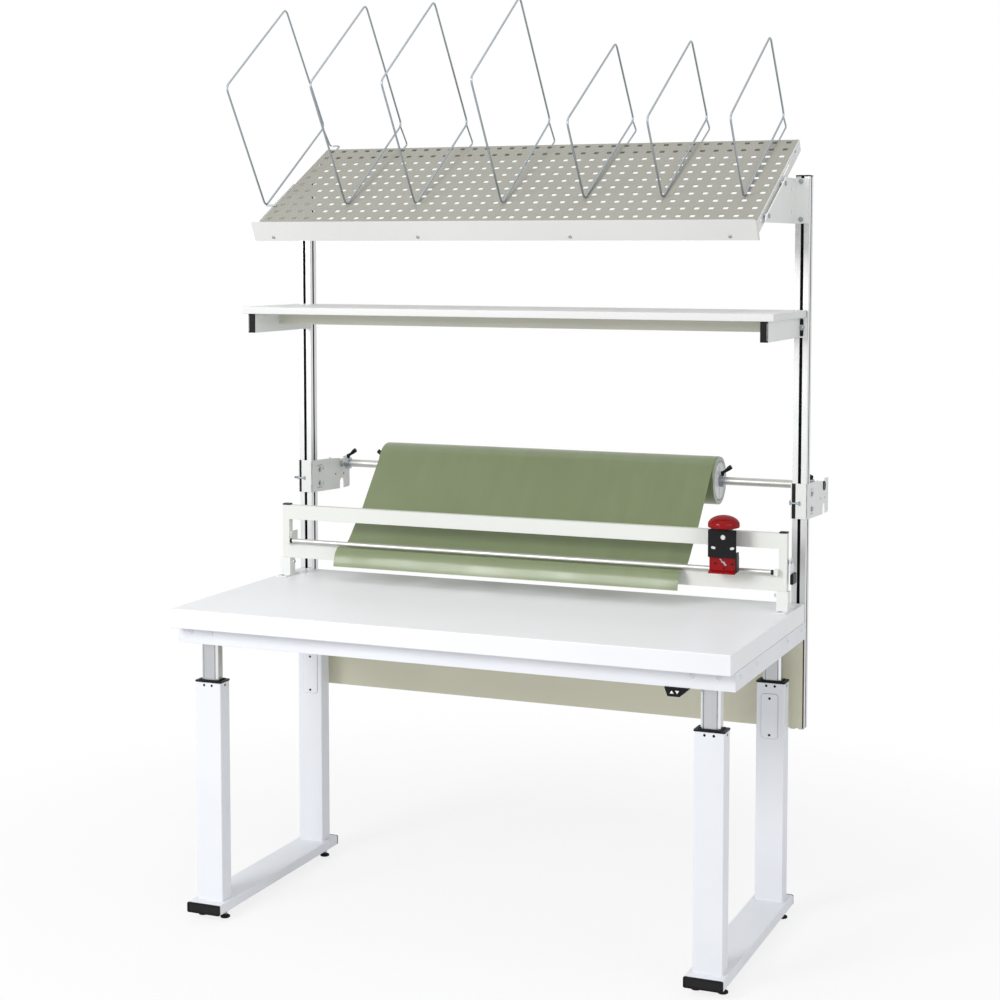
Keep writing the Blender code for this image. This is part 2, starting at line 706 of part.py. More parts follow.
def make_runner(name, side, base):
    """Flat steel tube on the floor, open at both ends under its caps."""
    middle = (side * RUNNER_X, RUNNER_BOTTOM + RUNNER_HEIGHT / 2)
    outer = rounded_rectangle(RUNNER_WIDTH, RUNNER_HEIGHT, RUNNER_CORNER, middle)
    inner = rectangle(RUNNER_WIDTH - 2 * RUNNER_WALL, RUNNER_HEIGHT - 2 * RUNNER_WALL, middle)
    front, rear = RUNNER_FRONT + RUNNER_CAP_FACE + GAP, RUNNER_REAR - RUNNER_CAP_FACE - GAP
    tube = plate(name, [outer, inner], rear - front, -(front + rear) / 2, PLANE_XZ)
    place(tube, "white_paint", base, (side * RUNNER_X, 0, middle[1]))


def make_runner_cap(name, side, end, base):
    """Plastic end cap: a face that covers the tube's end and a plug with an open middle."""
    middle = (side * RUNNER_X, RUNNER_BOTTOM + RUNNER_HEIGHT / 2)
    outward = -1 if end == "front" else 1
    outer_y = RUNNER_FRONT if end == "front" else RUNNER_REAR
    face_y = outer_y - outward * RUNNER_CAP_FACE / 2
    outline = rounded_rectangle(RUNNER_WIDTH, RUNNER_HEIGHT, RUNNER_CORNER, middle)
    cap = plate(name, [outline], RUNNER_CAP_FACE, -face_y, PLANE_XZ)
    plug_width = RUNNER_WIDTH - 2 * RUNNER_WALL - 2 * GAP
    plug_height = RUNNER_HEIGHT - 2 * RUNNER_WALL - 2 * GAP
    rings = [rectangle(plug_width, plug_height, middle)]
    wall = 2 * RUNNER_CAP_PLUG_WALL
    rings.append(rectangle(plug_width - wall, plug_height - wall, middle))
    plug_y = outer_y - outward * (RUNNER_CAP_FACE + RUNNER_CAP_PLUG / 2 - WELD_SINK)
    plug = plate("plug", rings, RUNNER_CAP_PLUG, -plug_y, PLANE_XZ)
    place(combine(cap, [plug]), "black_plastic", base, (side * RUNNER_X, outer_y, middle[1]))


def make_feet(name, side, y, base):
    """Two levelling feet that hang from one strip under the runner."""
    strip_top = RUNNER_BOTTOM - GAP
    half = FOOT_SPREAD / 2
    low = (side * RUNNER_X - half, y - FOOT_STRIP_DEPTH / 2, strip_top - FOOT_STRIP_THICKNESS)
    high = (side * RUNNER_X + half, y + FOOT_STRIP_DEPTH / 2, strip_top)
    strip = box(name, low, high)
    tools = []
    for offset in (-half, half):
        spot = Matrix.Translation((side * RUNNER_X + offset, y, 0))
        profile = [
            (0, strip_top - FOOT_STRIP_THICKNESS + WELD_SINK),
            (FOOT_STUD_RADIUS, strip_top - FOOT_STRIP_THICKNESS + WELD_SINK),
            (FOOT_STUD_RADIUS, FOOT_DISC),
            (FOOT_RADIUS - FOOT_EDGE, FOOT_DISC),
            (FOOT_RADIUS, FOOT_DISC - FOOT_EDGE),
            (FOOT_RADIUS, 0),
            (0, 0),
        ]
        tools.append(turned("foot", profile, spot, SMALL_STEPS))
    place(combine(strip, tools), "black_plastic", base, (side * RUNNER_X, y, 0))


def make_column(name, side, y, base):
    """Outer tube of a lifting column."""
    outer = rounded_rectangle(COLUMN_WIDTH, COLUMN_DEPTH, COLUMN_CORNER, (side * RUNNER_X, y))
    inner = rectangle(COLUMN_WIDTH - 2 * COLUMN_WALL, COLUMN_DEPTH - 2 * COLUMN_WALL, (side * RUNNER_X, y))
    bottom = RUNNER_TOP + GAP
    tube = plate(name, [outer, inner], COLUMN_TOP - bottom, (COLUMN_TOP + bottom) / 2, PLANE_XY)
    place(tube, "white_paint", base, (side * RUNNER_X, y, bottom))


def make_collar(name, side, y, base):
    """Plastic guide collar on top of an outer column."""
    width, depth = COLUMN_WIDTH + 2 * COLLAR_OVERHANG, COLUMN_DEPTH + 2 * COLLAR_OVERHANG
    rings = [rounded_rectangle(width, depth, COLUMN_CORNER, (side * RUNNER_X, y))]
    rings.append(rectangle(INNER_WIDTH + 2 * GAP, INNER_DEPTH + 2 * GAP, (side * RUNNER_X, y)))
    bottom = COLUMN_TOP + GAP
    collar = plate(name, rings, COLLAR_THICKNESS, bottom + COLLAR_THICKNESS / 2, PLANE_XY)
    place(collar, "black_plastic", base, (side * RUNNER_X, y, bottom))


def inner_column_outline(side, y):
    """Outline of the sliding column, with cut corners and a shallow groove beside each."""
    across, deep = INNER_WIDTH / 2, INNER_DEPTH / 2
    inset = across - INNER_CHAMFER - INNER_GROOVE_INSET
    quarter = [
        (across, deep - INNER_CHAMFER),
        (across - INNER_CHAMFER, deep),
        (inset + INNER_GROOVE, deep),
        (inset, deep - INNER_GROOVE),
        (inset - INNER_GROOVE, deep),
    ]
    top = quarter + [(-a, b) for a, b in reversed(quarter)]
    return [(side * RUNNER_X + a, y + b) for a, b in top + [(-a, -b) for a, b in top]]


def make_inner_column(name, side, y, table):
    """Aluminium column that slides in the outer one and carries the table frame."""
    top = RAIL_BOTTOM - GAP
    outline = inner_column_outline(side, y)
    column = plate(name, [outline], top - INNER_BOTTOM, (top + INNER_BOTTOM) / 2, PLANE_XY)
    place(column, "aluminium", table, (side * RUNNER_X, y, top))


def make_table_frame(name, table):
    """Welded frame of four rails with a plate over each column and a pad for each upright."""
    front_y = FRONT_RAIL_Y
    levels = (RAIL_BOTTOM, RAIL_TOP)
    ring = [rectangle(WORKTOP_WIDTH, HALF_DEPTH - front_y, (0, (HALF_DEPTH + front_y) / 2))]
    inner_width = WORKTOP_WIDTH - 2 * RAIL_THICKNESS
    inner_depth = HALF_DEPTH - front_y - 2 * RAIL_THICKNESS
    ring.append(rectangle(inner_width, inner_depth, (0, (HALF_DEPTH + front_y) / 2)))
    frame = plate(name, ring, RAIL_HEIGHT, (RAIL_BOTTOM + RAIL_TOP) / 2, PLANE_XY)
    tools = []
    plate_top = RAIL_BOTTOM + CORNER_PLATE_THICKNESS
    for _, side in sides():
        x_range = (HALF_WIDTH - RAIL_THICKNESS - CORNER_PLATE_WIDTH, HALF_WIDTH - WELD_SINK)
        for low_y, high_y in (
            (front_y + WELD_SINK, front_y + RAIL_THICKNESS + CORNER_PLATE_DEPTH),
            (HALF_DEPTH - RAIL_THICKNESS - CORNER_PLATE_DEPTH, HALF_DEPTH - WELD_SINK),
        ):
            tools.append(
                mirrored_box("corner", side, x_range, (low_y, high_y), (RAIL_BOTTOM, plate_top))
            )
        pad_x = (HALF_WIDTH - UPRIGHT_SIZE, HALF_WIDTH)
        pad_y = (HALF_DEPTH - WELD_SINK, UPRIGHT_FRONT_Y - GAP)
        tools.append(mirrored_box("pad", side, pad_x, pad_y, levels))
    place(combine(frame, tools), "white_paint", table, (0, 0, RAIL_BOTTOM))


def make_worktop(name, table):
    """Laminated board with a shallow seat for the base plate of each socket."""
    low = (-HALF_WIDTH, -HALF_DEPTH, WORKTOP_BOTTOM)
    board = box(name, low, (HALF_WIDTH, HALF_DEPTH, WORKTOP_TOP), WORKTOP_EDGE)
    seats = []
    half_depth = SOCKET_PLATE_DEPTH / 2 + GAP
    seat_y = (SOCKET_PLATE_Y - half_depth, SOCKET_PLATE_Y + half_depth)
    seat_z = (WORKTOP_TOP - SOCKET_SEAT_DEPTH, WORKTOP_TOP + SOCKET_SEAT_DEPTH)
    for _, side in sides():
        half = SOCKET_PLATE_WIDTH / 2 + GAP
        seats.append(mirrored_box("seat", side, (POST_X - half, POST_X + half), seat_y, seat_z))
    place(cut(board, seats), "laminate", table, (0, 0, WORKTOP_BOTTOM))


def make_handset(name, table):
    """Control box under the front rail, with a pocket for its rocker."""
    outline = [
        (HANDSET_X - HANDSET_TOP_WIDTH / 2, HANDSET_TOP),
        (HANDSET_X + HANDSET_TOP_WIDTH / 2, HANDSET_TOP),
        (HANDSET_BOTTOM_X + HANDSET_BOTTOM_WIDTH / 2, HANDSET_BOTTOM),
        (HANDSET_BOTTOM_X - HANDSET_BOTTOM_WIDTH / 2, HANDSET_BOTTOM),
    ]
    front_y = HANDSET_FRONT_Y
    case = plate(name, [outline], HANDSET_DEPTH, -(front_y + HANDSET_DEPTH / 2), PLANE_XZ)
    half_width, half_height = ROCKER_WIDTH / 2 + GAP, ROCKER_HEIGHT / 2 + GAP
    low = (ROCKER_X - half_width, front_y - ROCKER_POCKET_DEPTH, ROCKER_Z - half_height)
    high = (ROCKER_X + half_width, front_y + ROCKER_POCKET_DEPTH, ROCKER_Z + half_height)
    case = cut(case, [box("pocket", low, high)])
    place(case, "black_plastic", table, (HANDSET_X, front_y, HANDSET_TOP))


def rocker_axle():
    """Return the point on the rocker's hinge line."""
    return (ROCKER_X, HANDSET_FRONT_Y + ROCKER_AXLE_BACK, ROCKER_Z)


def make_rocker(name, parent):
    """Rocker with an up side and a down side."""
    front_y = HANDSET_FRONT_Y - ROCKER_PROUD
    low = (ROCKER_X - ROCKER_WIDTH / 2, front_y, ROCKER_Z - ROCKER_HEIGHT / 2)
    high = (ROCKER_X + ROCKER_WIDTH / 2, front_y + ROCKER_THICKNESS, ROCKER_Z + ROCKER_HEIGHT / 2)
    place(box(name, low, high), "black_plastic", parent, rocker_axle())


def upright_outline(side):
    """Outline of the slotted profile: one side's slot, turned to all four sides."""
    half, mouth, chamber = UPRIGHT_SIZE / 2, SLOT_MOUTH / 2, SLOT_CHAMBER / 2
    one_side = [
        (-half, -half),
        (-mouth, -half),
        (-mouth, SLOT_LIP - half),
        (-chamber, SLOT_LIP - half),
        (-chamber, SLOT_SHOULDER - half),
        (-SLOT_FLOOR / 2, SLOT_DEPTH - half),
        (SLOT_FLOOR / 2, SLOT_DEPTH - half),
        (chamber, SLOT_SHOULDER - half),
        (chamber, SLOT_LIP - half),
        (mouth, SLOT_LIP - half),
        (mouth, -half),
    ]
    points = []
    for quarter in range(4):
        turn = Matrix.Rotation(quarter * math.pi / 2, 2)
        for point in one_side:
            across, deep = turn @ Vector(point)
            points.append((side * UPRIGHT_X + across, UPRIGHT_Y + deep))
    return points


def make_upright(name, side, table):
    """Slotted aluminium upright behind the worktop."""
    length, middle = UPRIGHT_TOP - UPRIGHT_BOTTOM, (UPRIGHT_TOP + UPRIGHT_BOTTOM) / 2
    profile = plate(name, [upright_outline(side)], length, middle, PLANE_XY)
    place(profile, "aluminium", table, (side * UPRIGHT_X, UPRIGHT_Y, UPRIGHT_BOTTOM))


def make_rear_panel(name, table):
    """Panel between the uprights, with its edges in their inner slots."""
    half = HALF_WIDTH - UPRIGHT_SIZE + PANEL_EDGE_IN_SLOT
    low = (-half, UPRIGHT_Y - PANEL_THICKNESS / 2, PANEL_BOTTOM)
    high = (half, UPRIGHT_Y + PANEL_THICKNESS / 2, PANEL_TOP)
    place(box(name, low, high), "beige_panel", table, (0, UPRIGHT_Y, PANEL_BOTTOM))


def make_shelf_board(name, table):
    """Shelf board on the shelf frame."""
    low = (-SHELF_HALF_WIDTH, SHELF_FRONT_Y, SHELF_TOP - SHELF_THICKNESS)
    high = (SHELF_HALF_WIDTH, SHELF_REAR_Y, SHELF_TOP)
    place(box(name, low, high, WORKTOP_EDGE), "grey_paint", table, (0, SHELF_REAR_Y, low[2]))


def make_shelf_frame(name, table):
    """Two arms with slotted plates on the uprights, joined by a cross rail."""
    plate_rear = UPRIGHT_FRONT_Y - GAP
    plate_front = plate_rear - ARM_PLATE_THICKNESS
    arm_inner = ARM_OUTER_X - ARM_WIDTH
    slot_z = (ARM_BOTTOM + ARM_TOP) / 2
    rail_reach = arm_inner + WELD_SINK
    rail_bottom = ARM_TOP - SHELF_RAIL_HEIGHT
    rail = box(
        name,
        (-rail_reach, SHELF_RAIL_Y - SHELF_RAIL_THICKNESS / 2, rail_bottom),
        (rail_reach, SHELF_RAIL_Y + SHELF_RAIL_THICKNESS / 2, ARM_TOP - WELD_SINK),
    )
    tools = []
    for label, side in sides():
        arm_y = (ARM_FRONT_Y, plate_front + WELD_SINK)
        arm_z = (ARM_BOTTOM, ARM_TOP)
        arm = mirrored_box("arm", side, (arm_inner, ARM_OUTER_X), arm_y, arm_z, ARM_EDGE)
        face_x = (UPRIGHT_X - ARM_PLATE_INWARD, UPRIGHT_X + ARM_PLATE_OUTWARD)
        face_z = (ARM_BOTTOM - WELD_SINK, ARM_TOP - WELD_SINK / 2)
        face = mirrored_box("face", side, face_x, (plate_front, plate_rear), face_z)
        slot_middle = UPRIGHT_X + ARM_EDGE
        slot_x = (slot_middle - ARM_SLOT_WIDTH / 2, slot_middle + ARM_SLOT_WIDTH / 2)
        slot_y = (plate_front - WELD_SINK, plate_rear + WELD_SINK)
        slot_span = (slot_z - ARM_SLOT_HEIGHT / 2, slot_z + ARM_SLOT_HEIGHT / 2)
        face = cut(face, [mirrored_box("slot", side, slot_x, slot_y, slot_span)])
        head_start, head_end = plate_front - SCREW_HEAD_HEIGHT, plate_front + WELD_SINK
        spot = (side * slot_middle, slot_z)
        head = cylinder(label, SCREW_HEAD_RADIUS, head_start, head_end, "Y", spot)
        tools += [arm, face, head]
    place(combine(rail, tools), "grey_paint", table, (0, UPRIGHT_FRONT_Y, ARM_BOTTOM))


def tray_point(x, along, above):
    """Return a point of the tray's own frame in table coordinates."""
    return TRAY_FRAME @ Vector((x, along, above))


def divider_leg_x(x):
    """Return where a divider's leg enters the rear flange."""
    return OUTSIDE_LEG_X if x < -TRAY_HALF_WIDTH else x


def perforations():
    """Return one tool of square rods, a rod for each hole of the tray's grid."""
    half = HOLE_SIZE / 2
    low = (HOLE_SIDE_MARGIN - TRAY_HALF_WIDTH - half, HOLE_FRONT_MARGIN - half, -2 * TRAY_SHEET)
    high = (low[0] + HOLE_SIZE, low[1] + HOLE_SIZE, TRAY_SHEET)
    rods = box("perforations", low, high)
    for count, offset in ((HOLE_COLUMNS, (HOLE_PITCH, 0, 0)), (HOLE_ROWS, (0, HOLE_ROW_PITCH, 0))):
        array = rods.modifiers.new("repeat", "ARRAY")
        array.count = count
        array.use_relative_offset = False
        array.use_constant_offset = True
        array.constant_offset_displace = offset
    rods = bake(rods)
    rods.data.transform(TRAY_FRAME)
    return rods


def flange_slots():
    """Return the tools for the adjusting slot in each side flange of the tray."""
    radius = TRAY_SLOT_WIDTH / 2
    middle = -TRAY_SLOT_DROP
    outline = arc((TRAY_SLOT[1] - radius, middle), radius, -90, 90, CORNER_STEPS)
    outline += arc((TRAY_SLOT[0] + radius, middle), radius, 90, 270, CORNER_STEPS)
    tools = []
    for _, side in sides():
        tool = plate("slot", [outline], 4 * TRAY_SHEET, side * TRAY_HALF_WIDTH, PLANE_YZ)
        tool.data.transform(TRAY_FRAME)
        tools.append(tool)
    return tools


def make_tray(name, table):
    """Perforated sheet-metal tray with a flange along each side."""
    mesh = bpy.data.meshes.new(name)
    work = bmesh.new()
    drop = Vector((0, 0, -TRAY_FLANGE))
    upper = {}
    lower = {}
    for side in (-1, 1):
        x = side * TRAY_HALF_WIDTH
        upper[side, "front"] = work.verts.new(tray_point(x, 0, 0))
        upper[side, "rear"] = work.verts.new(tray_point(x, TRAY_DEPTH, 0))
        lower[side, "front"] = work.verts.new(tray_point(x, 0, 0) + drop)
        lower[side, "rear"] = work.verts.new(tray_point(x, TRAY_DEPTH, -TRAY_FLANGE))
    corners = [(-1, "front"), (1, "front"), (1, "rear"), (-1, "rear")]
    work.faces.new([upper[corner] for corner in corners])
    for first, second in zip(corners, corners[1:] + corners[:1]):
        work.faces.new([upper[second], upper[first], lower[first], lower[second]])
    work.to_mesh(mesh)
    work.free()
    tray = new_object(name, mesh)
    shell = tray.modifiers.new("sheet", "SOLIDIFY")
    shell.thickness = TRAY_SHEET
    shell.offset = -1
    shell.use_even_offset = True
    tray = bake(tray)
    tools = [perforations()] + flange_slots()
    for x in TALL_DIVIDERS_X + SHORT_DIVIDERS_X:
        hole = wire(
            "wire_hole",
            [
                tray_point(divider_leg_x(x), TRAY_DEPTH - 2 * TRAY_SHEET, -LEG_DROP),
                tray_point(divider_leg_x(x), TRAY_DEPTH + TRAY_SHEET, -LEG_DROP),
            ],
            WIRE_HOLE_RADIUS,
        )
        tools.append(hole)
    place(cut(tray, tools), "grey_paint", table, tray_point(0, 0, 0))


def make_lip(name, table):
    """Upright bar along the tray's front flange."""
    middle_z = (LIP_TOP + LIP_BOTTOM) / 2
    top_right = arc((LIP_HALF_WIDTH - LIP_CORNER, LIP_TOP - LIP_CORNER), LIP_CORNER, 0, 90, CORNER_STEPS)
    top_left = [(-x, z) for x, z in reversed(top_right)]
    outline = top_right + top_left + [(-LIP_HALF_WIDTH, LIP_BOTTOM), (LIP_HALF_WIDTH, LIP_BOTTOM)]
    middle_y = TRAY_FRONT_Y - GAP - LIP_THICKNESS / 2
    bar = plate(name, [outline], LIP_THICKNESS, -middle_y, PLANE_XZ)
    place(bar, "grey_paint", table, (0, middle_y, middle_z))


def make_tray_bracket(name, side, table):
    """Arm plate beside the tray's flange, bolted through bushes, with a plate on the upright."""
    plate_rear = UPRIGHT_FRONT_Y - GAP
    plate_front = plate_rear - TRAY_ARM_THICKNESS
    slope = math.tan(TRAY_TILT)
    nose_top = TRAY_ARM_BOTTOM + TRAY_ARM_NOSE
    outline = [
        (TRAY_ARM_FRONT_Y, TRAY_ARM_BOTTOM),
        (plate_rear, TRAY_ARM_BOTTOM),
        (plate_rear, TRAY_ARM_TOP),
        (TRAY_ARM_FRONT_Y + (TRAY_ARM_TOP - nose_top) / slope, TRAY_ARM_TOP),
        (TRAY_ARM_FRONT_Y, nose_top),
    ]
    outer_x = TRAY_ARM_INNER_X + TRAY_ARM_THICKNESS
    arm = plate(name, [outline], TRAY_ARM_THICKNESS, side * (TRAY_ARM_INNER_X + outer_x) / 2, PLANE_YZ)
    face_z = (TRAY_ARM_BOTTOM, TRAY_ARM_TOP)
    face_x = (TRAY_ARM_INNER_X, UPRIGHT_X + TRAY_PLATE_OUTWARD)
    tools = [mirrored_box("face", side, face_x, (plate_front, plate_rear), face_z)]
    for along in TRAY_BOLTS_ALONG:
        spot = tray_point(0, along, -TRAY_BOLT_DROP)[1:]
        start, end = span(side * (TRAY_HALF_WIDTH + GAP), side * (TRAY_ARM_INNER_X + WELD_SINK))
        tools.append(cylinder("bush", TRAY_BUSH_RADIUS, start, end, "X", spot))
        start, end = span(side * (outer_x - WELD_SINK), side * (outer_x + SCREW_HEAD_HEIGHT))
        tools.append(cylinder("head", SCREW_HEAD_RADIUS, start, end, "X", spot))
    pivot = (side * TRAY_ARM_INNER_X, plate_rear, TRAY_ARM_BOTTOM)
    place(combine(arm, tools), "grey_paint", table, pivot)


def make_divider(name, x, loop, table):
    """Wire loop that stands on the tray, with a leg hooked into the rear flange."""
    corners = [tray_point(x, along, above + WIRE_LIFT) for along, above in loop]
    frame = wire(name, bend_corners(corners, WIRE_BEND, True), WIRE_RADIUS, True)
    rear, height = loop[-1]
    leg_x = divider_leg_x(x)
    start = tray_point(x, rear - WIRE_BEND / 2, height + WIRE_LIFT + WIRE_BEND / 4)
    leg = [start, tray_point(x, rear + LEG_LEAN, -LEG_DROP)]
    if leg_x != x:
        leg.append(tray_point(leg_x, rear + LEG_LEAN, -LEG_DROP))
    leg.append(tray_point(leg_x, LEG_END, -LEG_DROP))
    tools = [wire("leg", bend_corners(leg, LEG_BEND, False), LEG_RADIUS)]
    if leg_x != x:
        along, above = loop[0]
        foot = along + WIRE_BEND / 4, above + WIRE_LIFT
        tools.append(wire("peg", [tray_point(x, *foot), tray_point(leg_x, *foot)], LEG_RADIUS))
    place(combine(frame, tools), "zinc", table, corners[0], smooth=True)


def roll_bracket_outline():
    """Side outline of a roll bracket: a notch for the shaft above and a hook slot below."""
    notch = (JOURNAL_RADIUS + RUNNING_CLEARANCE) / math.cos(math.pi / ROUND_STEPS)
    hook_z = SHAFT_Z - HOOK_BELOW - HOOK_HALF_WIDTH
    front = UPRIGHT_FRONT_Y - GAP - BRACKET_SHEET
    rear = SHAFT_Y + BRACKET_PAST_SHAFT
    bottom = SHAFT_Z - BRACKET_REAR_BELOW
    finger_top = SHAFT_Z + BRACKET_FINGER_ABOVE
    outline = [(front, SHAFT_Z - BRACKET_FRONT_BELOW), (SHAFT_Y - HOOK_HALF_WIDTH, bottom)]
    outline += arc((SHAFT_Y, hook_z), HOOK_HALF_WIDTH, 180, 0, SMALL_STEPS // 2)
    outline += [(SHAFT_Y + HOOK_HALF_WIDTH, bottom)]
    lower = (rear - BRACKET_CORNER, bottom + BRACKET_CORNER)
    outline += arc(lower, BRACKET_CORNER, -90, 0, CORNER_STEPS)
    upper = (rear - BRACKET_CORNER, finger_top - BRACKET_CORNER)
    outline += arc(upper, BRACKET_CORNER, 0, 90, CORNER_STEPS)
    outline += [(SHAFT_Y + notch, finger_top)]
    outline += arc((SHAFT_Y, SHAFT_Z), notch, 0, -180, ROUND_STEPS // 2)
    outline += [(SHAFT_Y - notch, SHAFT_Z + BRACKET_REAR_ABOVE), (front, SHAFT_Z + BRACKET_FRONT_ABOVE)]
    return outline


def make_roll_bracket(name, side, table):
    """Bent plate round an upright that carries one end of the shaft.

    Both brackets have their arm on the right side of their upright and clamp it from the left.
    """
    arm_x = side * UPRIGHT_X + UPRIGHT_SIZE / 2 + GAP
    strip_x = side * UPRIGHT_X - UPRIGHT_SIZE / 2 - GAP
    leg_rear = UPRIGHT_FRONT_Y - GAP
    leg_front = leg_rear - BRACKET_SHEET
    levels = (SHAFT_Z - BRACKET_FRONT_BELOW, SHAFT_Z + BRACKET_FRONT_ABOVE)
    arm = plate(name, [roll_bracket_outline()], BRACKET_SHEET, arm_x + BRACKET_SHEET / 2, PLANE_YZ)
    low = (strip_x - BRACKET_SHEET, leg_front, levels[0] + WELD_SINK)
    high = (arm_x + WELD_SINK, leg_rear, levels[1] - WELD_SINK)
    leg = box("leg", low, high)
    strip_low = (strip_x - BRACKET_SHEET, leg_front + WELD_SINK, levels[0] + WELD_SINK * 2)
    strip_high = (strip_x, leg_front + BRACKET_STRIP_DEPTH, levels[1] - WELD_SINK * 2)
    strip = box("strip", strip_low, strip_high)
    stud_length = RIGHT_STUD_LENGTH if side > 0 else LEFT_STUD_LENGTH
    stud_start = strip_x - BRACKET_SHEET - stud_length
    stud_end = strip_x - BRACKET_SHEET + WELD_SINK
    spot = (leg_front + BRACKET_STUD_BACK, SHAFT_Z - BRACKET_STUD_BELOW)
    tools = [leg, strip, cylinder("stud", BRACKET_STUD_RADIUS, stud_start, stud_end, "X", spot)]
    head_start = arm_x + BRACKET_SHEET - WELD_SINK
    head_end = arm_x + BRACKET_SHEET + SCREW_HEAD_HEIGHT
    for below in BRACKET_BOLTS_BELOW:
        spot = (UPRIGHT_FRONT_Y + BRACKET_BOLT_BACK, SHAFT_Z - below)
        tools.append(cylinder("head", SCREW_HEAD_RADIUS, head_start, head_end, "X", spot))
    place(combine(arm, tools), "grey_paint", table, (arm_x, leg_rear, levels[0]))


def hub_collars_x():
    """Return the middles of the two collars that hold the spool between them."""
    half = SHAFT_COLLAR_WIDTH / 2
    return (SPOOL_LEFT_X - GAP - half, SPOOL_RIGHT_X + GAP + half)


def shaft_steps():
    """Return the shaft's radius along X as (start, end, radius) steps, from left to right."""
    left_plate = -UPRIGHT_X + UPRIGHT_SIZE / 2 + GAP + BRACKET_SHEET / 2
    right_plate = UPRIGHT_X + UPRIGHT_SIZE / 2 + GAP + BRACKET_SHEET / 2
    half_journal, half_collar = JOURNAL_LENGTH / 2, SHAFT_COLLAR_WIDTH / 2
    left_hub, right_hub = hub_collars_x()
    thick = [(left_plate - half_journal, left_plate + half_journal, JOURNAL_RADIUS)]
    for middle in (LEFT_COLLAR_X, left_hub, right_hub, RIGHT_COLLAR_X):
        thick.append((middle - half_collar, middle + half_collar, SHAFT_COLLAR_RADIUS))
    right_end = right_plate + SHAFT_END_LENGTH
    thick.append((right_plate - half_journal, right_end, JOURNAL_RADIUS))
    return thick


def make_shaft(name, roll):
    """Steel shaft with a journal at each end and four clamp collars."""
    thick = shaft_steps()
    profile = [(0, thick[-1][1])]
    for start, end, radius in reversed(thick):
        profile += [(SHAFT_RADIUS, end)] if profile[-1][0] == SHAFT_RADIUS else []
        profile += [(radius, end), (radius, start), (SHAFT_RADIUS, start)]
    profile[-1] = (0, thick[0][0])
    matrix = Matrix.Translation((0, SHAFT_Y, SHAFT_Z)) @ PLANE_YZ
    place(turned(name, profile, matrix), "zinc", roll, (0, SHAFT_Y, SHAFT_Z), smooth=True)


def make_spool(name, roll):
    """Plastic spool with a flange at each end of the film."""
    bore = SHAFT_RADIUS + GAP
    profile = [
        (bore, SPOOL_RIGHT_X),
        (SPOOL_FLANGE_RADIUS, SPOOL_RIGHT_X),
        (SPOOL_FLANGE_RADIUS, ROLL_RIGHT_X + GAP),
        (SPOOL_RADIUS, ROLL_RIGHT_X + GAP),
        (SPOOL_RADIUS, ROLL_LEFT_X - GAP),
        (SPOOL_FLANGE_RADIUS, ROLL_LEFT_X - GAP),
        (SPOOL_FLANGE_RADIUS, SPOOL_LEFT_X),
        (bore, SPOOL_LEFT_X),
    ]
    matrix = Matrix.Translation((0, SHAFT_Y, SHAFT_Z)) @ PLANE_YZ
    spool = turned(name, profile, matrix, ROUND_STEPS, closed=True)
    place(spool, "white_paint", roll, (0, SHAFT_Y, SHAFT_Z), smooth=True)


def make_film_roll(name, roll):
    """Film wound on the spool."""
    bore = SPOOL_RADIUS + GAP
    profile = [(bore, ROLL_RIGHT_X), (ROLL_RADIUS, ROLL_RIGHT_X), (ROLL_RADIUS, ROLL_LEFT_X)]
    profile.append((bore, ROLL_LEFT_X))
    matrix = Matrix.Translation((0, SHAFT_Y, SHAFT_Z)) @ PLANE_YZ
    film = turned(name, profile, matrix, FINE_STEPS, closed=True)
    place(film, "green_film", roll, (0, SHAFT_Y, SHAFT_Z), smooth=True)


def make_wing_lever(name, x, direction, parent):
    """Lever on a collar's clamp screw, leaning out along the shaft."""
    base = SHAFT_Z + SHAFT_COLLAR_RADIUS + GAP
    top = base + LEVER_HUB_HEIGHT
    hub = cylinder(name, LEVER_HUB_RADIUS, base, top, "Z", (x, SHAFT_Y))
    half = LEVER_THICKNESS / 2
    outline = [
        (x - direction * half, top - LEVER_THICKNESS),
        (x + direction * half, top - LEVER_THICKNESS),
        (x + direction * (LEVER_REACH + half), top + LEVER_RISE - LEVER_THICKNESS),
        (x + direction * (LEVER_REACH - half), top + LEVER_RISE),
        (x - direction * half, top - half),
    ]
    blade = plate("blade", [outline], LEVER_THICKNESS, -SHAFT_Y, PLANE_XZ)
    place(combine(hub, [blade]), "black_plastic", parent, (x, SHAFT_Y, base))


def make_cutter_frame(name, table):
    """Welded frame of two posts and two rails, with a tab on the left post."""
    outer = POST_X + POST_WIDTH / 2
    inner = POST_X - POST_WIDTH / 2
    bottom = SOCKET_BOTTOM + SOCKET_PLATE_THICKNESS + GAP
    outline = [(-outer, bottom), (-inner, bottom), (-inner, LOWER_RAIL_BOTTOM)]
    outline += [(inner, LOWER_RAIL_BOTTOM), (inner, bottom), (outer, bottom)]
    outline += [(outer, FRAME_TOP), (-outer, FRAME_TOP)]
    window_height = UPPER_RAIL_BOTTOM - LOWER_RAIL_TOP
    window = rectangle(2 * inner, window_height, (0, (UPPER_RAIL_BOTTOM + LOWER_RAIL_TOP) / 2))
    frame = plate(name, [outline, window], CUTTER_TUBE, -CUTTER_Y, PLANE_XZ)
    low = (-inner - WELD_SINK, TAB_Y - TAB_DEPTH / 2, TAB_BOTTOM)
    high = (-inner + TAB_THICKNESS, TAB_Y + TAB_DEPTH / 2, TAB_BOTTOM + TAB_HEIGHT)
    place(combine(frame, [box("tab", low, high)]), "white_paint", table, (0, CUTTER_Y, bottom))


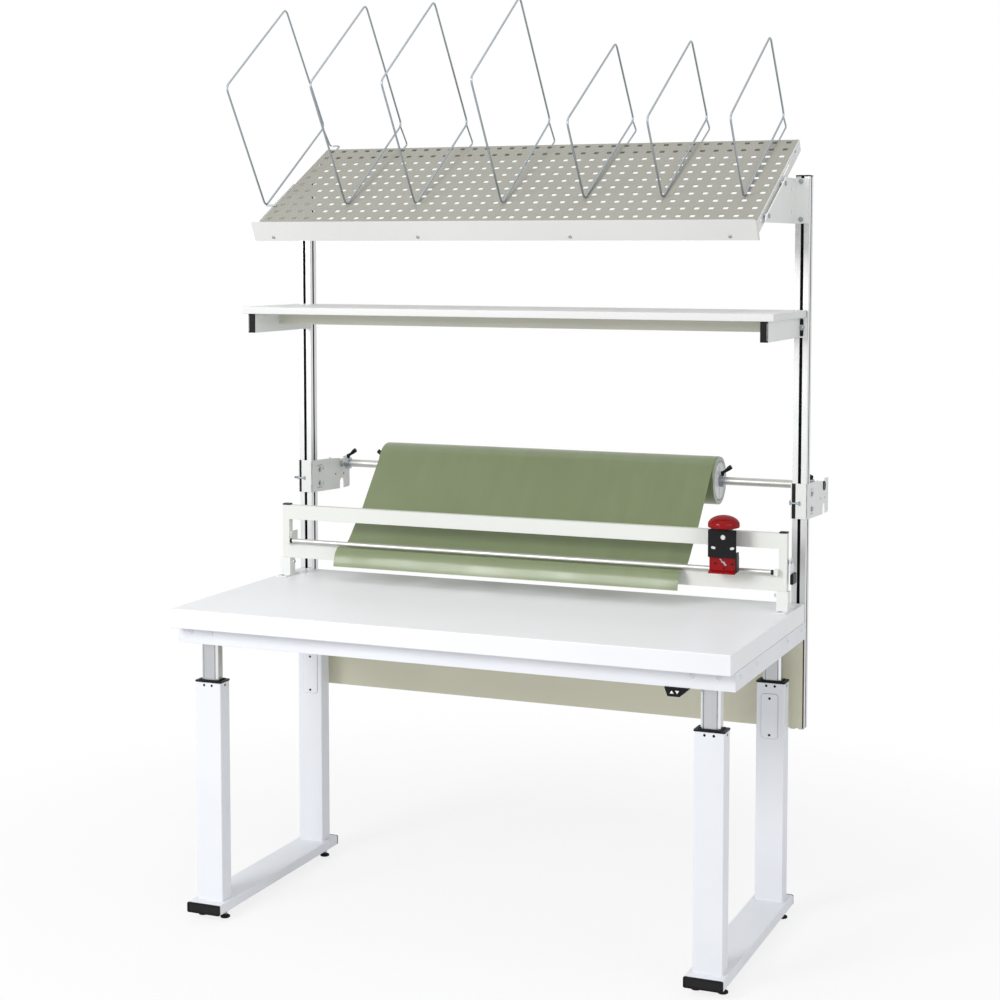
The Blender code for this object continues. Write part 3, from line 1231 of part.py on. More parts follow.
def make_socket(name, side, table):
    """Post socket screwed to the worktop, with a clamp screw on its inner side."""
    bottom = SOCKET_BOTTOM
    plate_top = bottom + SOCKET_PLATE_THICKNESS
    x = side * POST_X
    base = box(
        name,
        (x - SOCKET_PLATE_WIDTH / 2, SOCKET_PLATE_Y - SOCKET_PLATE_DEPTH / 2, bottom),
        (x + SOCKET_PLATE_WIDTH / 2, SOCKET_PLATE_Y + SOCKET_PLATE_DEPTH / 2, plate_top),
    )
    rings = [rectangle(SOCKET_SIZE, SOCKET_SIZE, (x, CUTTER_Y))]
    rings.append(rectangle(POST_WIDTH + 2 * GAP, CUTTER_TUBE + 2 * GAP, (x, CUTTER_Y)))
    tube_bottom = plate_top - WELD_SINK
    tube = plate("tube", rings, SOCKET_TOP - tube_bottom, (SOCKET_TOP + tube_bottom) / 2, PLANE_XY)
    face = x - side * SOCKET_SIZE / 2
    start, end = span(face + side * WELD_SINK, face - side * SOCKET_SCREW_LENGTH)
    spot = (CUTTER_Y, SOCKET_TOP - SOCKET_SCREW_DROP)
    screw = cylinder("screw", SOCKET_SCREW_RADIUS, start, end, "X", spot)
    place(combine(base, [tube, screw]), "grey_paint", table, (x, CUTTER_Y, bottom))


def make_rod(name, table):
    """Film rod in front of the frame, held by a block at each post."""
    rod = cylinder(name, ROD_RADIUS, -ROD_BLOCK_OUTER_X + WELD_SINK, ROD_BLOCK_OUTER_X - WELD_SINK,
                   "X", (ROD_Y, ROD_Z), ROUND_STEPS // 2)
    block_rear = CUTTER_Y - CUTTER_TUBE / 2 - GAP
    tools = []
    for _, side in sides():
        x_range = (ROD_BLOCK_INNER_X, ROD_BLOCK_OUTER_X)
        y_range = (block_rear - ROD_BLOCK_SIZE, block_rear)
        z_range = (ROD_Z - ROD_BLOCK_SIZE / 2, ROD_Z + ROD_BLOCK_SIZE / 2)
        tools.append(mirrored_box("block", side, x_range, y_range, z_range))
    place(combine(rod, tools), "zinc", table, (0, ROD_Y, ROD_Z))


def make_carriage(name, parent):
    """Carriage that hooks over the upper rail."""
    rail_front, rail_rear = CUTTER_Y - CUTTER_TUBE / 2, CUTTER_Y + CUTTER_TUBE / 2
    over = FRAME_TOP + GAP
    hook_rear = rail_rear + GAP + CARRIAGE_HOOK
    outline = [
        (CARRIAGE_FRONT_Y, CARRIAGE_BOTTOM),
        (rail_front - GAP, CARRIAGE_BOTTOM),
        (rail_front - GAP, over),
        (rail_rear + GAP, over),
        (rail_rear + GAP, over - CARRIAGE_HOOK_DEPTH),
        (hook_rear, over - CARRIAGE_HOOK_DEPTH),
        (hook_rear, CARRIAGE_TOP),
        (CARRIAGE_FRONT_Y, CARRIAGE_TOP),
    ]
    body = plate(name, [outline], CARRIAGE_WIDTH, CARRIAGE_X, PLANE_YZ)
    edge = CARRIAGE_X + CARRIAGE_WIDTH / 2
    flange_front = CARRIAGE_FRONT_Y - CARRIAGE_FLANGE_FORWARD
    low = (edge - WELD_SINK, flange_front, CARRIAGE_BOTTOM - CARRIAGE_FLANGE_BELOW)
    high = (edge + CARRIAGE_FLANGE, SHOE_REAR_Y, CARRIAGE_BOTTOM + CARRIAGE_FLANGE_ABOVE)
    flange = box("flange", low, high)
    pivot = (CARRIAGE_X, CUTTER_Y, FRAME_TOP)
    place(combine(body, [flange]), "black_plastic", parent, pivot)


def make_shoe(name, parent):
    """Blade shoe under the carriage, with a flared lip."""
    top = CARRIAGE_BOTTOM - GAP
    lip_bottom = SHOE_BOTTOM - SHOE_LIP_DROP
    lip_front = SHOE_FRONT_Y - SHOE_LIP_REACH
    outline = [
        (SHOE_FRONT_Y, top),
        (SHOE_FRONT_Y, SHOE_BOTTOM + SHOE_LIP_DROP),
        (lip_front, lip_bottom + SHOE_LIP_THICKNESS),
        (lip_front, lip_bottom),
        (SHOE_REAR_Y, SHOE_BOTTOM),
        (SHOE_REAR_Y, top),
    ]
    shoe = plate(name, [outline], SHOE_WIDTH, CARRIAGE_X, PLANE_YZ)
    place(shoe, "red_plastic", parent, (CARRIAGE_X, CUTTER_Y, FRAME_TOP))


def make_knob(name, parent):
    """Mushroom knob on top of the carriage."""
    bottom = CARRIAGE_TOP + GAP
    rim_bottom = bottom + KNOB_NECK
    rim_top = rim_bottom + KNOB_RIM
    dome_height = bottom + KNOB_HEIGHT - rim_top
    dome = []
    for step in range(KNOB_DOME_STEPS + 1):
        angle = math.pi / 2 * (1 - step / KNOB_DOME_STEPS)
        dome.append((KNOB_RADIUS * math.cos(angle), rim_top + dome_height * math.sin(angle)))
    dome[0] = (0, rim_top + dome_height)
    profile = dome + [(KNOB_RADIUS, rim_bottom), (KNOB_STEM_RADIUS, bottom), (0, bottom)]
    matrix = Matrix.Translation((CARRIAGE_X, KNOB_Y, 0))
    knob = turned(name, profile, matrix)
    place(knob, "red_plastic", parent, (CARRIAGE_X, KNOB_Y, bottom), smooth=True)


def clamp_lever_pivot():
    """Return the point on the clamp lever's hinge line."""
    return (POST_X + POST_WIDTH / 2 + GAP, LEVER_PIVOT_Y, LEVER_PIVOT_Z)


def make_clamp_lever(name, parent):
    """Lever on the right post: a plate on a pivot stud, with a grip below."""
    start = clamp_lever_pivot()[0]
    inner = POST_X + POST_WIDTH / 2 + LEVER_STANDOFF
    outer = inner + LEVER_PLATE
    outline = [(LEVER_PIVOT_Y + back, LEVER_PIVOT_Z + up) for back, up in LEVER_PLATE_CORNERS]
    arm = plate(name, [outline], LEVER_PLATE, (inner + outer) / 2, PLANE_YZ)
    spot = (LEVER_PIVOT_Y, LEVER_PIVOT_Z)
    stud = cylinder("stud", LEVER_PIVOT_RADIUS, start, inner + WELD_SINK, "X", spot)
    thickness, depth, height = GRIP_SIZE
    middle_y, middle_z = LEVER_PIVOT_Y + GRIP_CENTRE[0], LEVER_PIVOT_Z + GRIP_CENTRE[1]
    low = (inner + WELD_SINK, middle_y - depth / 2, middle_z - height / 2)
    high = (inner + WELD_SINK + thickness, middle_y + depth / 2, middle_z + height / 2)
    place(combine(arm, [stud, box("grip", low, high)]), "black_plastic", parent, clamp_lever_pivot())


def film_guide():
    """Return the film's lowest point before the upper rail, as (y, z)."""
    return Vector((CUTTER_Y, FRAME_TOP)) + Vector(FILM_OVER_FRAME)


def film_path():
    """Return the film's middle line as (y, z) points: off the roll, behind the rail, under the rod."""
    clear = ROLL_RADIUS + GAP + FILM_SHEET / 2
    shaft, guide, rod = Vector((SHAFT_Y, SHAFT_Z)), film_guide(), Vector((ROD_Y, ROD_Z))
    to_guide = guide - shaft
    angle = math.atan2(to_guide.y, to_guide.x) - math.acos(clear / to_guide.length)
    leave = shaft + clear * Vector((math.cos(angle), math.sin(angle)))
    path = [leave, (leave + guide) / 2, guide]
    path += [Vector((CUTTER_Y, UPPER_RAIL_BOTTOM)) + Vector(FILM_BEHIND_RAIL)]
    path += [rod + Vector(FILM_TOWARDS_ROD)]
    for step in range(ROD_WRAP_STEPS + 1):
        turn = FILM_WRAP_START - FILM_WRAP_TURN * step / ROD_WRAP_STEPS
        path.append(rod + FILM_SLACK * Vector((math.cos(turn), math.sin(turn))))
    path += [rod + Vector(offset) for offset in FILM_AFTER_ROD]
    return path


def make_film_web(name, table):
    """Sheet of film that hangs from the roll through the cutter."""
    mesh = bpy.data.meshes.new(name)
    work = bmesh.new()
    left_x, right_x = ROLL_LEFT_X + FILM_EDGE, ROLL_RIGHT_X - FILM_EDGE
    left = [work.verts.new((left_x, *point)) for point in film_path()]
    edges = [work.edges.new(pair) for pair in zip(left, left[1:])]
    wide = bmesh.ops.extrude_edge_only(work, edges=edges)
    moved = [item for item in wide["geom"] if isinstance(item, bmesh.types.BMVert)]
    bmesh.ops.translate(work, vec=(right_x - left_x, 0, 0), verts=moved)
    work.to_mesh(mesh)
    work.free()
    film = new_object(name, mesh)
    sheet = film.modifiers.new("sheet", "SOLIDIFY")
    sheet.thickness = FILM_SHEET
    sheet.offset = 0
    place(bake(film), "green_film", table, (0, *film_guide()), smooth=True)


def make_base(base):
    """Make the runners, their caps and feet, and the outer columns."""
    for label, side in sides():
        make_runner(f"runner_{label}", side, base)
        for end, column_y, foot_y in (
            ("front", COLUMN_FRONT_Y, FOOT_FRONT_Y),
            ("rear", COLUMN_REAR_Y, FOOT_REAR_Y),
        ):
            make_runner_cap(f"runner_cap_{label}_{end}", side, end, base)
            make_feet(f"feet_{label}_{end}", side, foot_y, base)
            make_column(f"outer_column_{label}_{end}", side, column_y, base)
            make_collar(f"guide_collar_{label}_{end}", side, column_y, base)


def make_table(table):
    """Make what the columns lift."""
    make_table_frame("table_frame", table)
    make_worktop("worktop", table)
    make_handset("handset", table)
    make_rear_panel("rear_panel", table)
    make_shelf_board("shelf_board", table)
    make_shelf_frame("shelf_frame", table)
    make_tray("tray", table)
    make_lip("tray_lip", table)
    make_cutter_frame("cutter_frame", table)
    make_rod("cutter_rod", table)
    make_film_web("film_web", table)
    for label, side in sides():
        make_inner_column(f"inner_column_{label}_front", side, COLUMN_FRONT_Y, table)
        make_inner_column(f"inner_column_{label}_rear", side, COLUMN_REAR_Y, table)
        make_upright(f"upright_{label}", side, table)
        make_tray_bracket(f"tray_bracket_{label}", side, table)
        make_roll_bracket(f"roll_bracket_{label}", side, table)
        make_socket(f"cutter_socket_{label}", side, table)
    number = 1
    for places, loop in ((TALL_DIVIDERS_X, TALL_LOOP), (SHORT_DIVIDERS_X, SHORT_LOOP)):
        for x in places:
            make_divider(f"divider_{number}", x, loop, table)
            number += 1


def make_roll(table):
    """Make the turning shaft with its spool, film and levers."""
    axle = empty("roll_axle", (0, SHAFT_Y, SHAFT_Z), table)
    make_shaft("roll_shaft", axle)
    make_spool("film_spool", axle)
    make_film_roll("film_roll", axle)
    left_hub, right_hub = hub_collars_x()
    levers = (
        ("left_bracket", LEFT_COLLAR_X, 1),
        ("left_hub", left_hub, -1),
        ("right_hub", right_hub, 1),
        ("right_bracket", RIGHT_COLLAR_X, -1),
    )
    for label, x, direction in levers:
        make_wing_lever(f"wing_lever_{label}", x, direction, axle)


def make_moving_pieces(table):
    """Make the carriage, the clamp lever and the rocker, each on its joint's axis."""
    slide = empty("carriage_slide", (CARRIAGE_X, CUTTER_Y, FRAME_TOP), table)
    make_carriage("carriage_body", slide)
    make_shoe("carriage_shoe", slide)
    make_knob("carriage_knob", slide)
    make_clamp_lever("clamp_lever", table)
    make_rocker("handset_rocker", table)


def main():
    """Build the whole table."""
    clear_scene()
    base = empty("floor_base", (0, 0, 0))
    table = empty("lifted_table", (0, 0, 0), base)
    make_base(base)
    make_table(table)
    make_roll(table)
    make_moving_pieces(table)
    bpy.context.view_layer.update()


main()
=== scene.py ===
"""Looks of the packing table: its finished pieces, fasteners, film and studio.

Sizes are metres in table coordinates: the origin is on the floor under the middle of the worktop,
X points right, Y back and Z up. A piece is shifted into the shared frame when it is handed over.
"""

import logging
import math
from collections.abc import Callable, Sequence
from dataclasses import dataclass
from enum import Enum
from functools import partial

import bmesh
import bpy
from mathutils import Matrix, Vector, noise


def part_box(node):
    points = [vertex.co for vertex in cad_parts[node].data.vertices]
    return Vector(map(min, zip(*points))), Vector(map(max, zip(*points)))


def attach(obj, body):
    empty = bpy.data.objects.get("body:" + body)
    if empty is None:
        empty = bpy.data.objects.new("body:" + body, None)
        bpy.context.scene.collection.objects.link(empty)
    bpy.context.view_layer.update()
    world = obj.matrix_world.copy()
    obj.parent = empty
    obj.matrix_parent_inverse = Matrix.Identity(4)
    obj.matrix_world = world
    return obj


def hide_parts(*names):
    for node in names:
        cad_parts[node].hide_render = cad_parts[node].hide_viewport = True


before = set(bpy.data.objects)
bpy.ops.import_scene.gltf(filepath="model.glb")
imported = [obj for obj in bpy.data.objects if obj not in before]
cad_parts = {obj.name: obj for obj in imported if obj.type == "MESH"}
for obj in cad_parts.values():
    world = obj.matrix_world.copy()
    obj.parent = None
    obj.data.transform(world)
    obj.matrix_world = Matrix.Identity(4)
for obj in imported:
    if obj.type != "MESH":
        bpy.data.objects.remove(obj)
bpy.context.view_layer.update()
LOG = logging.getLogger("packing_table")

Colour = tuple[float, float, float]
Flat = tuple[float, float]
Spot = Sequence[float]
Rings = Sequence[tuple]
Socket = bpy.types.NodeSocket
Surface = bmesh.types.BMesh
Face = bmesh.types.BMFace

BOTH = (-1, 1)
SIDES = ("left", "right")
ENDS = ("front", "rear")
FRONTWARD = (0, -1, 0)
LEVEL_FACE = 0.9
BEVELLED_FROM = math.radians(28)
SHADED_SHARP_FROM = math.radians(38)
SCREW_SHARP_FROM = math.radians(32)
CUTTER_Y = (0.220, 0.240)
ROD_Y = 0.210
FINE_MERGE = 1e-6
MERGE = 1e-5
FLAT_WITHIN = math.radians(0.6)
TIP_WIDTH = 0.7
TIP_REACH = 0.3
HEAD_SIDES = 24


class Plane(Enum):
    """Planes for flat outlines, as the axes that run across, up and through."""

    SIDE = (1, 2, 0)
    FRONT = (0, 2, 1)
    LEVEL = (0, 1, 2)

    @property
    def matrix(self) -> Matrix:
        """Return the turn that carries a flat drawing into the plane.

        Returns:
            The turn as a matrix.
        """
        turn = Matrix(((0,) * 4,) * 4)
        for column, axis in enumerate((*self.value, 3)):
            turn[axis][column] = 1
        return turn


@dataclass(frozen=True)
class Extent:
    """Box round a CAD node, in table coordinates."""

    low: Vector
    high: Vector

    @property
    def middle(self) -> Vector:
        """Return the middle of the box."""
        return (self.low + self.high) / 2

    @property
    def size(self) -> Vector:
        """Return the lengths of the box's sides."""
        return self.high - self.low

    def corners(self, plane: Plane, grow: float = 0.0) -> tuple[Flat, Flat]:
        """Return the box's low and high corner in a plane, moved outward by a distance.

        Args:
            plane: the plane.
            grow: the distance, negative for inward.

        Returns:
            The two corners, across and up.
        """
        across, up, _ = plane.value
        low = (self.low[across] - grow, self.low[up] - grow)
        return low, (self.high[across] + grow, self.high[up] + grow)

    def outline(self, plane: Plane, radius: float, grow: float = 0.0) -> list[Flat]:
        """Return the box's outline in a plane, with round corners and moved outward."""
        return rounded(*self.corners(plane, grow), radius)


def shared_box(node: str) -> list[Vector]:
    """Return the corners of a CAD node's box in the shared frame."""
    return [Vector(corner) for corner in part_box(node)]


def table_origin() -> Vector:
    """Return the shared frame's point under the middle of the worktop, on the floor."""
    low, high = shared_box("worktop")
    return Vector(((low.x + high.x) / 2, (low.y + high.y) / 2, 0))


ORIGIN = table_origin()


def extent(node: str) -> Extent:
    """Return the box of a CAD node in table coordinates."""
    return Extent(*(corner - ORIGIN for corner in shared_box(node)))


def side_of(node: str) -> int:
    """Return 1 for a node on the right and -1 for one on the left."""
    return 1 if "right" in node else -1


def placed(name: str, data: bpy.types.ID) -> bpy.types.Object:
    """Add an object with its data to the scene.

    Args:
        name: the object's name.
        data: its mesh, camera or lamp.

    Returns:
        The new object.
    """
    made = bpy.data.objects.new(name, data)
    bpy.context.scene.collection.objects.link(made)
    return made


# Node trees and finishes


class Wiring:
    """A node tree and a short way to add to it."""

    def __init__(self, tree: bpy.types.NodeTree) -> None:
        """Take up a tree and clear it."""
        self.tree = tree
        tree.nodes.clear()

    def node(
        self, kind: str, settings: dict | None = None, inputs: dict | None = None
    ) -> bpy.types.Node:
        """Add a node.

        Args:
            kind: the node's type name.
            settings: attributes of the node itself.
            inputs: what goes to its inputs, by name or number: a value, a socket, a node for its
                first output, or a list of these.

        Returns:
            The new node.
        """
        made = self.tree.nodes.new(kind)
        for key, value in (settings or {}).items():
            setattr(made, key, value)
        for key, value in (inputs or {}).items():
            for part in value if isinstance(value, list) else [value]:
                if isinstance(part, bpy.types.Node):
                    part = part.outputs[0]
                if isinstance(part, Socket):
                    self.tree.links.new(part, made.inputs[key])
                else:
                    made.inputs[key].default_value = part
        return made

    def seen_directly(self) -> Socket:
        """Return one for camera, glossy and transmission rays, and zero for others.

        Returns:
            The sum of the three rays, held to one.
        """
        path = self.node("ShaderNodeLightPath").outputs
        total, adding = path["Is Camera Ray"], {"operation": "ADD", "use_clamp": True}
        for name in ("Is Glossy Ray", "Is Transmission Ray"):
            total = self.node("ShaderNodeMath", adding, {0: total, 1: path[name]}).outputs[0]
        return total


class Bench(Wiring):
    """The node tree of one material and its usual patterns."""

    def __init__(self, name: str) -> None:
        """Start a material by its name.

        Args:
            name: the material's name.
        """
        self.material = bpy.data.materials.new(name)
        self.material.use_nodes = True
        super().__init__(self.material.node_tree)
        self.place = self.node("ShaderNodeTexCoord").outputs["Object"]

    def noise(self, scale: Spot, detail: float) -> Socket:
        """Return a noise pattern with a size of its own along each axis.

        Args:
            scale: its fineness along each axis.
            detail: how many finer patterns it holds.

        Returns:
            The pattern as a value.
        """
        stretched = self.node("ShaderNodeMapping", inputs={"Vector": self.place, "Scale": tuple(scale)})
        inputs = {"Vector": stretched, "Scale": 1.0, "Detail": detail}
        return self.node("ShaderNodeTexNoise", inputs=inputs).outputs[0]

    def span(self, value: object, old: Flat, new: Flat = (0, 1)) -> Socket:
        """Return a value carried from one range to another and held inside it."""
        return self.node("ShaderNodeMapRange", inputs=dict(enumerate((value, *old, *new)))).outputs[0]

    def mathed(self, operation: str, *values: object) -> Socket:
        """Return what a math node makes of its values."""
        return self.node("ShaderNodeMath", {"operation": operation}, dict(enumerate(values))).outputs[0]

    def measured(self, operation: str, *values: object) -> bpy.types.NodeOutputs:
        """Return the outputs of a vector math node."""
        return self.node("ShaderNodeVectorMath", {"operation": operation}, dict(enumerate(values))).outputs

    def mix(self, factor: Socket, first: object, second: object) -> Socket:
        """Return a colour between two, by a pattern.

        Args:
            factor: the pattern, zero for the first colour.
            first: a colour or a socket.
            second: a colour or a socket.

        Returns:
            The mixed colour.
        """
        ends = [end if isinstance(end, Socket) else (*end, 1) for end in (first, second)]
        inputs = {0: factor, 6: ends[0], 7: ends[1]}
        return self.node("ShaderNodeMix", {"data_type": "RGBA"}, inputs).outputs[2]


class Group(Wiring):
    """A geometry node group with named inputs."""

    def __init__(self, name: str, inputs: dict[str, str]) -> None:
        """Start a group.

        Args:
            name: the group's name.
            inputs: the kind of each input, by its name.
        """
        super().__init__(bpy.data.node_groups.new(name, "GeometryNodeTree"))
        for label, kind in inputs.items():
            self.tree.interface.new_socket(label, in_out="INPUT", socket_type=f"NodeSocket{kind}")
        self.given = self.node("NodeGroupInput").outputs

    def ended(self, label: str, geometry: bpy.types.Node) -> "Group":
        """Make the geometry real, give it the group's finish and name the output.

        Args:
            label: the output's name.
            geometry: the node that makes the geometry.

        Returns:
            The group.
        """
        self.tree.interface.new_socket(label, in_out="OUTPUT", socket_type="NodeSocketGeometry")
        real = self.node("GeometryNodeRealizeInstances", inputs={0: geometry})
        inputs = {"Geometry": real, "Material": self.given["Finish"]}
        self.node("NodeGroupOutput", inputs={0: self.node("GeometryNodeSetMaterial", inputs=inputs)})
        return self

    def run(self, name: str, start: bpy.types.Mesh, values: dict) -> bpy.types.Mesh:
        """Run the group on a mesh.

        Args:
            name: the new mesh's name.
            start: the mesh that goes in.
            values: the other inputs by name.

        Returns:
            The plain mesh that comes out.
        """
        holder = placed(f"{name}_start", start)
        modifier = holder.modifiers.new("pattern", "NODES")
        modifier.node_group = self.tree
        for item in self.tree.interface.items_tree:
            if item.in_out == "INPUT" and item.name in values:
                modifier[item.identifier] = values[item.name]
        holder.update_tag()
        bpy.context.view_layer.update()
        graph = bpy.context.evaluated_depsgraph_get()
        mesh = bpy.data.meshes.new_from_object(holder.evaluated_get(graph), depsgraph=graph)
        mesh.name = name
        bpy.data.objects.remove(holder)
        return mesh


class Grain(Enum):
    """How a surface is made: its pattern's scale and detail, relief, strength and tint."""

    POWDER = ((520,) * 3, 2, 0.00012, 0.4, 0.0)
    MOULDED = ((1600,) * 3, 1, 0.00008, 0.45, 0.0)
    BRUSHED = ((1400,) * 3, 3, 0.00004, 0.35, 0.10)
    PLATED = ((320,) * 3, 3, 0.00003, 0.4, 0.10)
    LAMINATE = ((900,) * 3, 2, 0.00004, 0.3, 0.035)
    WOUND = ((30, 3, 3), 3, 0.0006, 0.35, 0.035)
    WEB = ((26, 4, 4), 3, 0.0012, 0.5, 0.035)


BRUSHED_LENGTHWISE = 5.0
MIDDLING = (0.35, 0.65)
BROAD = (0.3, 0.7)
COLOUR_DRIFT = ((3.1, 2.3, 2.7), 4)
ROUGHNESS_DRIFT = ((11, 9, 10), 4)
ROUGHNESS_RANGE = (-0.06, 0.07)
RUBBING = ((70, 64, 58), 3)
RUBBED_SHARE = (0.48, 0.62)
COAT_ROUGHNESS = 0.12
ROLL_RING_SCALE = 1100.0
ROLL_RINGS = ((0.30, 0.35, 0.29), (0.52, 0.56, 0.51))
END_FACING = (0.6, 0.9)


@dataclass(frozen=True)
class Finish:
    """A painted, plated or plastic surface.

    Attributes:
        name: what a maker would call it.
        colour: linear red, green and blue.
        rough: roughness in the middle of its range.
        drift: share by which the colour drifts over the surface.
        grain: how the surface is made.
        metallic: one for bare metal, zero for paint and plastic.
        worn: colour on rubbed edges.
        wear: how strongly the edges are rubbed.
        along: the axis along which metal was drawn, 0 to 2.
        coat: strength of a clear gloss over the surface.
        shine: strength of the surface's own reflection, one half for plain plastic.
    """

    name: str
    colour: Colour
    rough: float
    drift: float = 0.03
    grain: Grain = Grain.POWDER
    metallic: float = 0.0
    worn: Colour = (0.93, 0.94, 0.95)
    wear: float = 0.35
    along: int = 2
    coat: float = 0.0
    shine: float = 0.5

    def shade(self, share: float) -> Colour:
        """Return the colour made lighter or darker by a share."""
        return tuple(min(1.0, part * (1 + share)) for part in self.colour)

    def material(self) -> bpy.types.Material:
        """Return the finish's material, made at its first use.

        Returns:
            The material.
        """
        known = bpy.data.materials.get(self.name)
        if known:
            return known
        bench = Bench(self.name)
        scale, detail, relief, strength, tint = self.grain.value
        if self.grain is Grain.BRUSHED:
            scale = [BRUSHED_LENGTHWISE if axis == self.along else part for axis, part in enumerate(scale)]
        fine = bench.noise(scale, detail)
        broad = bench.span(bench.noise(*COLOUR_DRIFT), BROAD)
        colour = bench.mix(broad, self.shade(-self.drift), self.shade(self.drift))
        if tint:
            colour = bench.mix(bench.span(fine, MIDDLING), colour, self.shade(-tint))
        if self.grain is Grain.WOUND:
            colour = self.wound_ends(bench, colour)
        edge = bench.node("ShaderNodeAttribute", {"attribute_name": "edge"}).outputs["Fac"]
        rubbed = bench.span(bench.noise(*RUBBING), RUBBED_SHARE, (0, self.wear))
        rough = tuple(self.rough + by for by in ROUGHNESS_RANGE)
        inputs = {
            "Base Color": bench.mix(bench.mathed("MULTIPLY", edge, rubbed), colour, self.worn),
            "Roughness": bench.span(bench.noise(*ROUGHNESS_DRIFT), BROAD, rough),
            "Metallic": self.metallic,
            "Normal": bench.node(
                "ShaderNodeBump", inputs={"Strength": strength, "Distance": relief, "Height": fine}
            ),
            "Specular IOR Level": self.shine,
            "Coat Weight": self.coat,
            "Coat Roughness": COAT_ROUGHNESS,
        }
        shader = bench.node("ShaderNodeBsdfPrincipled", inputs=inputs)
        bench.node("ShaderNodeOutputMaterial", inputs={"Surface": shader})
        return bench.material

    @staticmethod
    def wound_ends(bench: Bench, colour: Socket) -> Socket:
        """Add the pale rings that the film's edges make on the ends of its roll.

        Args:
            bench: the material's node tree.
            colour: the film's own colour.

        Returns:
            The colour with the rings.
        """
        shaft = extent("roll_shaft").middle + ORIGIN
        apart = bench.measured("ADD", bench.place, (0, -shaft.y, -shaft.z))[0]
        radius = bench.measured("LENGTH", bench.measured("MULTIPLY", apart, (0, 1, 1))[0])["Value"]
        inputs = {"W": radius, "Scale": ROLL_RING_SCALE, "Detail": 3}
        rings = bench.node("ShaderNodeTexNoise", {"noise_dimensions": "1D"}, inputs)
        normal = bench.node("ShaderNodeNewGeometry").outputs["True Normal"]
        facing = bench.node("ShaderNodeSeparateXYZ", inputs={0: normal})
        end = bench.span(bench.mathed("ABSOLUTE", facing), END_FACING)
        return bench.mix(end, colour, bench.mix(bench.span(rings, MIDDLING), *ROLL_RINGS))


moulded = partial(Finish, grain=Grain.MOULDED)
laminate = partial(Finish, grain=Grain.LAMINATE)
drawn_metal = partial(Finish, grain=Grain.BRUSHED, metallic=1.0)
plated = partial(Finish, grain=Grain.PLATED, metallic=1.0)

COOL_WHITE = Finish("cool_white_powder_coat", (0.81, 0.825, 0.86), 0.42)
WARM_WHITE = Finish("warm_white_powder_coat", (0.78, 0.79, 0.75), 0.45)
LIP_GREY = Finish("tray_lip_powder_coat", (0.73, 0.73, 0.71), 0.48)
ARM_GREY = Finish("warm_grey_powder_coat", (0.60, 0.595, 0.50), 0.48)
# The tray's paint darkened as painted shade, for its sheet and front and rear walls; the flanges keep a
# lighter copy.
TRAY_PAINTED_SHADE_GREY = Finish("tray_powder_coat_painted_shade", (0.355, 0.35, 0.305), 0.52, worn=(0.62, 0.62, 0.58), shine=0.3)
PLATE_GREY = Finish("bracket_powder_coat", (0.82, 0.83, 0.81), 0.46)
BEIGE = Finish("beige_panel_coat", (0.74, 0.72, 0.56), 0.5, worn=(0.84, 0.82, 0.72))
BOARD = laminate("laminate_board", (0.87, 0.875, 0.89), 0.40, 0.012)
BAND = moulded("laminate_edge_band", (0.86, 0.865, 0.88), 0.36, 0.015)
SHELF_BOARD = laminate("shelf_laminate", (0.84, 0.84, 0.83), 0.42, 0.015)
SHELF_BAND = moulded("shelf_edge_band", (0.74, 0.74, 0.735), 0.40, 0.015)
# Dark brown, painted as the shadow in the gap at each end of the rear panel.
GAP_SHADE_BROWN = moulded("brown_edge_seal", (0.10, 0.070, 0.045), 0.55, 0.1, worn=(0.2, 0.17, 0.13), shine=0.2)
BLACK = moulded(
    "black_moulded_plastic", (0.008, 0.008, 0.009), 0.38, 0.15, worn=(0.045, 0.045, 0.048), shine=0.15
)
RUBBER = moulded("black_rubber", (0.014,) * 3, 0.7, 0.2, worn=(0.06,) * 3, shine=0.2)
RED = moulded(
    "red_moulded_plastic", (0.29, 0.004, 0.006), 0.20, 0.05, worn=(0.42, 0.05, 0.05), coat=0.35, shine=0.0
)
WHITE_PLASTIC = moulded("white_moulded_plastic", (0.80, 0.81, 0.81), 0.35, 0.02)
MARKING = moulded("white_marking", (0.82,) * 3, 0.5, 0.02, wear=0.1)
ANODISED = drawn_metal("anodised_profile", (0.70, 0.705, 0.71), 0.40)
# Near-black finish for painted shade, laid deep in slots, grooves, slits and holes.
PAINTED_SHADE = drawn_metal(
    "dark_slot_lining", (0.012, 0.012, 0.013), 0.5, 0.1, metallic=0.0, wear=0.0, shine=0.1
)
COLUMN_METAL = drawn_metal("anodised_column", (0.56, 0.57, 0.59), 0.33, 0.04)
# Lighter copy of the column metal, a painted highlight on the columns' cut corners.
COLUMN_HIGHLIGHT = drawn_metal("bright_column_edge", (0.86, 0.87, 0.88), 0.22)
ROD_STEEL = drawn_metal("ground_steel", (0.60, 0.60, 0.575), 0.46, 0.05, along=0)
ZINC = plated("bright_zinc", (0.38, 0.42, 0.46), 0.25, 0.10, worn=(0.6, 0.63, 0.66))
WIRE_ZINC = plated("zinc_wire", (0.38, 0.42, 0.45), 0.36, 0.10)
FILM = Finish(
    "green_film_sheet", (0.222, 0.268, 0.142), 0.34, 0.05, Grain.WEB, coat=0.22, shine=0.45
)
WOUND_FILM = Finish(
    "green_film_wound", (0.205, 0.240, 0.120), 0.40, 0.05, Grain.WOUND, coat=0.05, shine=0.35
)


# Drawing helpers


HEXAGON = "hexagon"


def reach_at(kind: Sequence[str], angle: float) -> float:
    """Return how far a ring reaches at an angle, for a radius or a nut's half width of one."""
    return 1 / math.cos(angle % (math.pi / 3) - math.pi / 6) if kind else 1.0


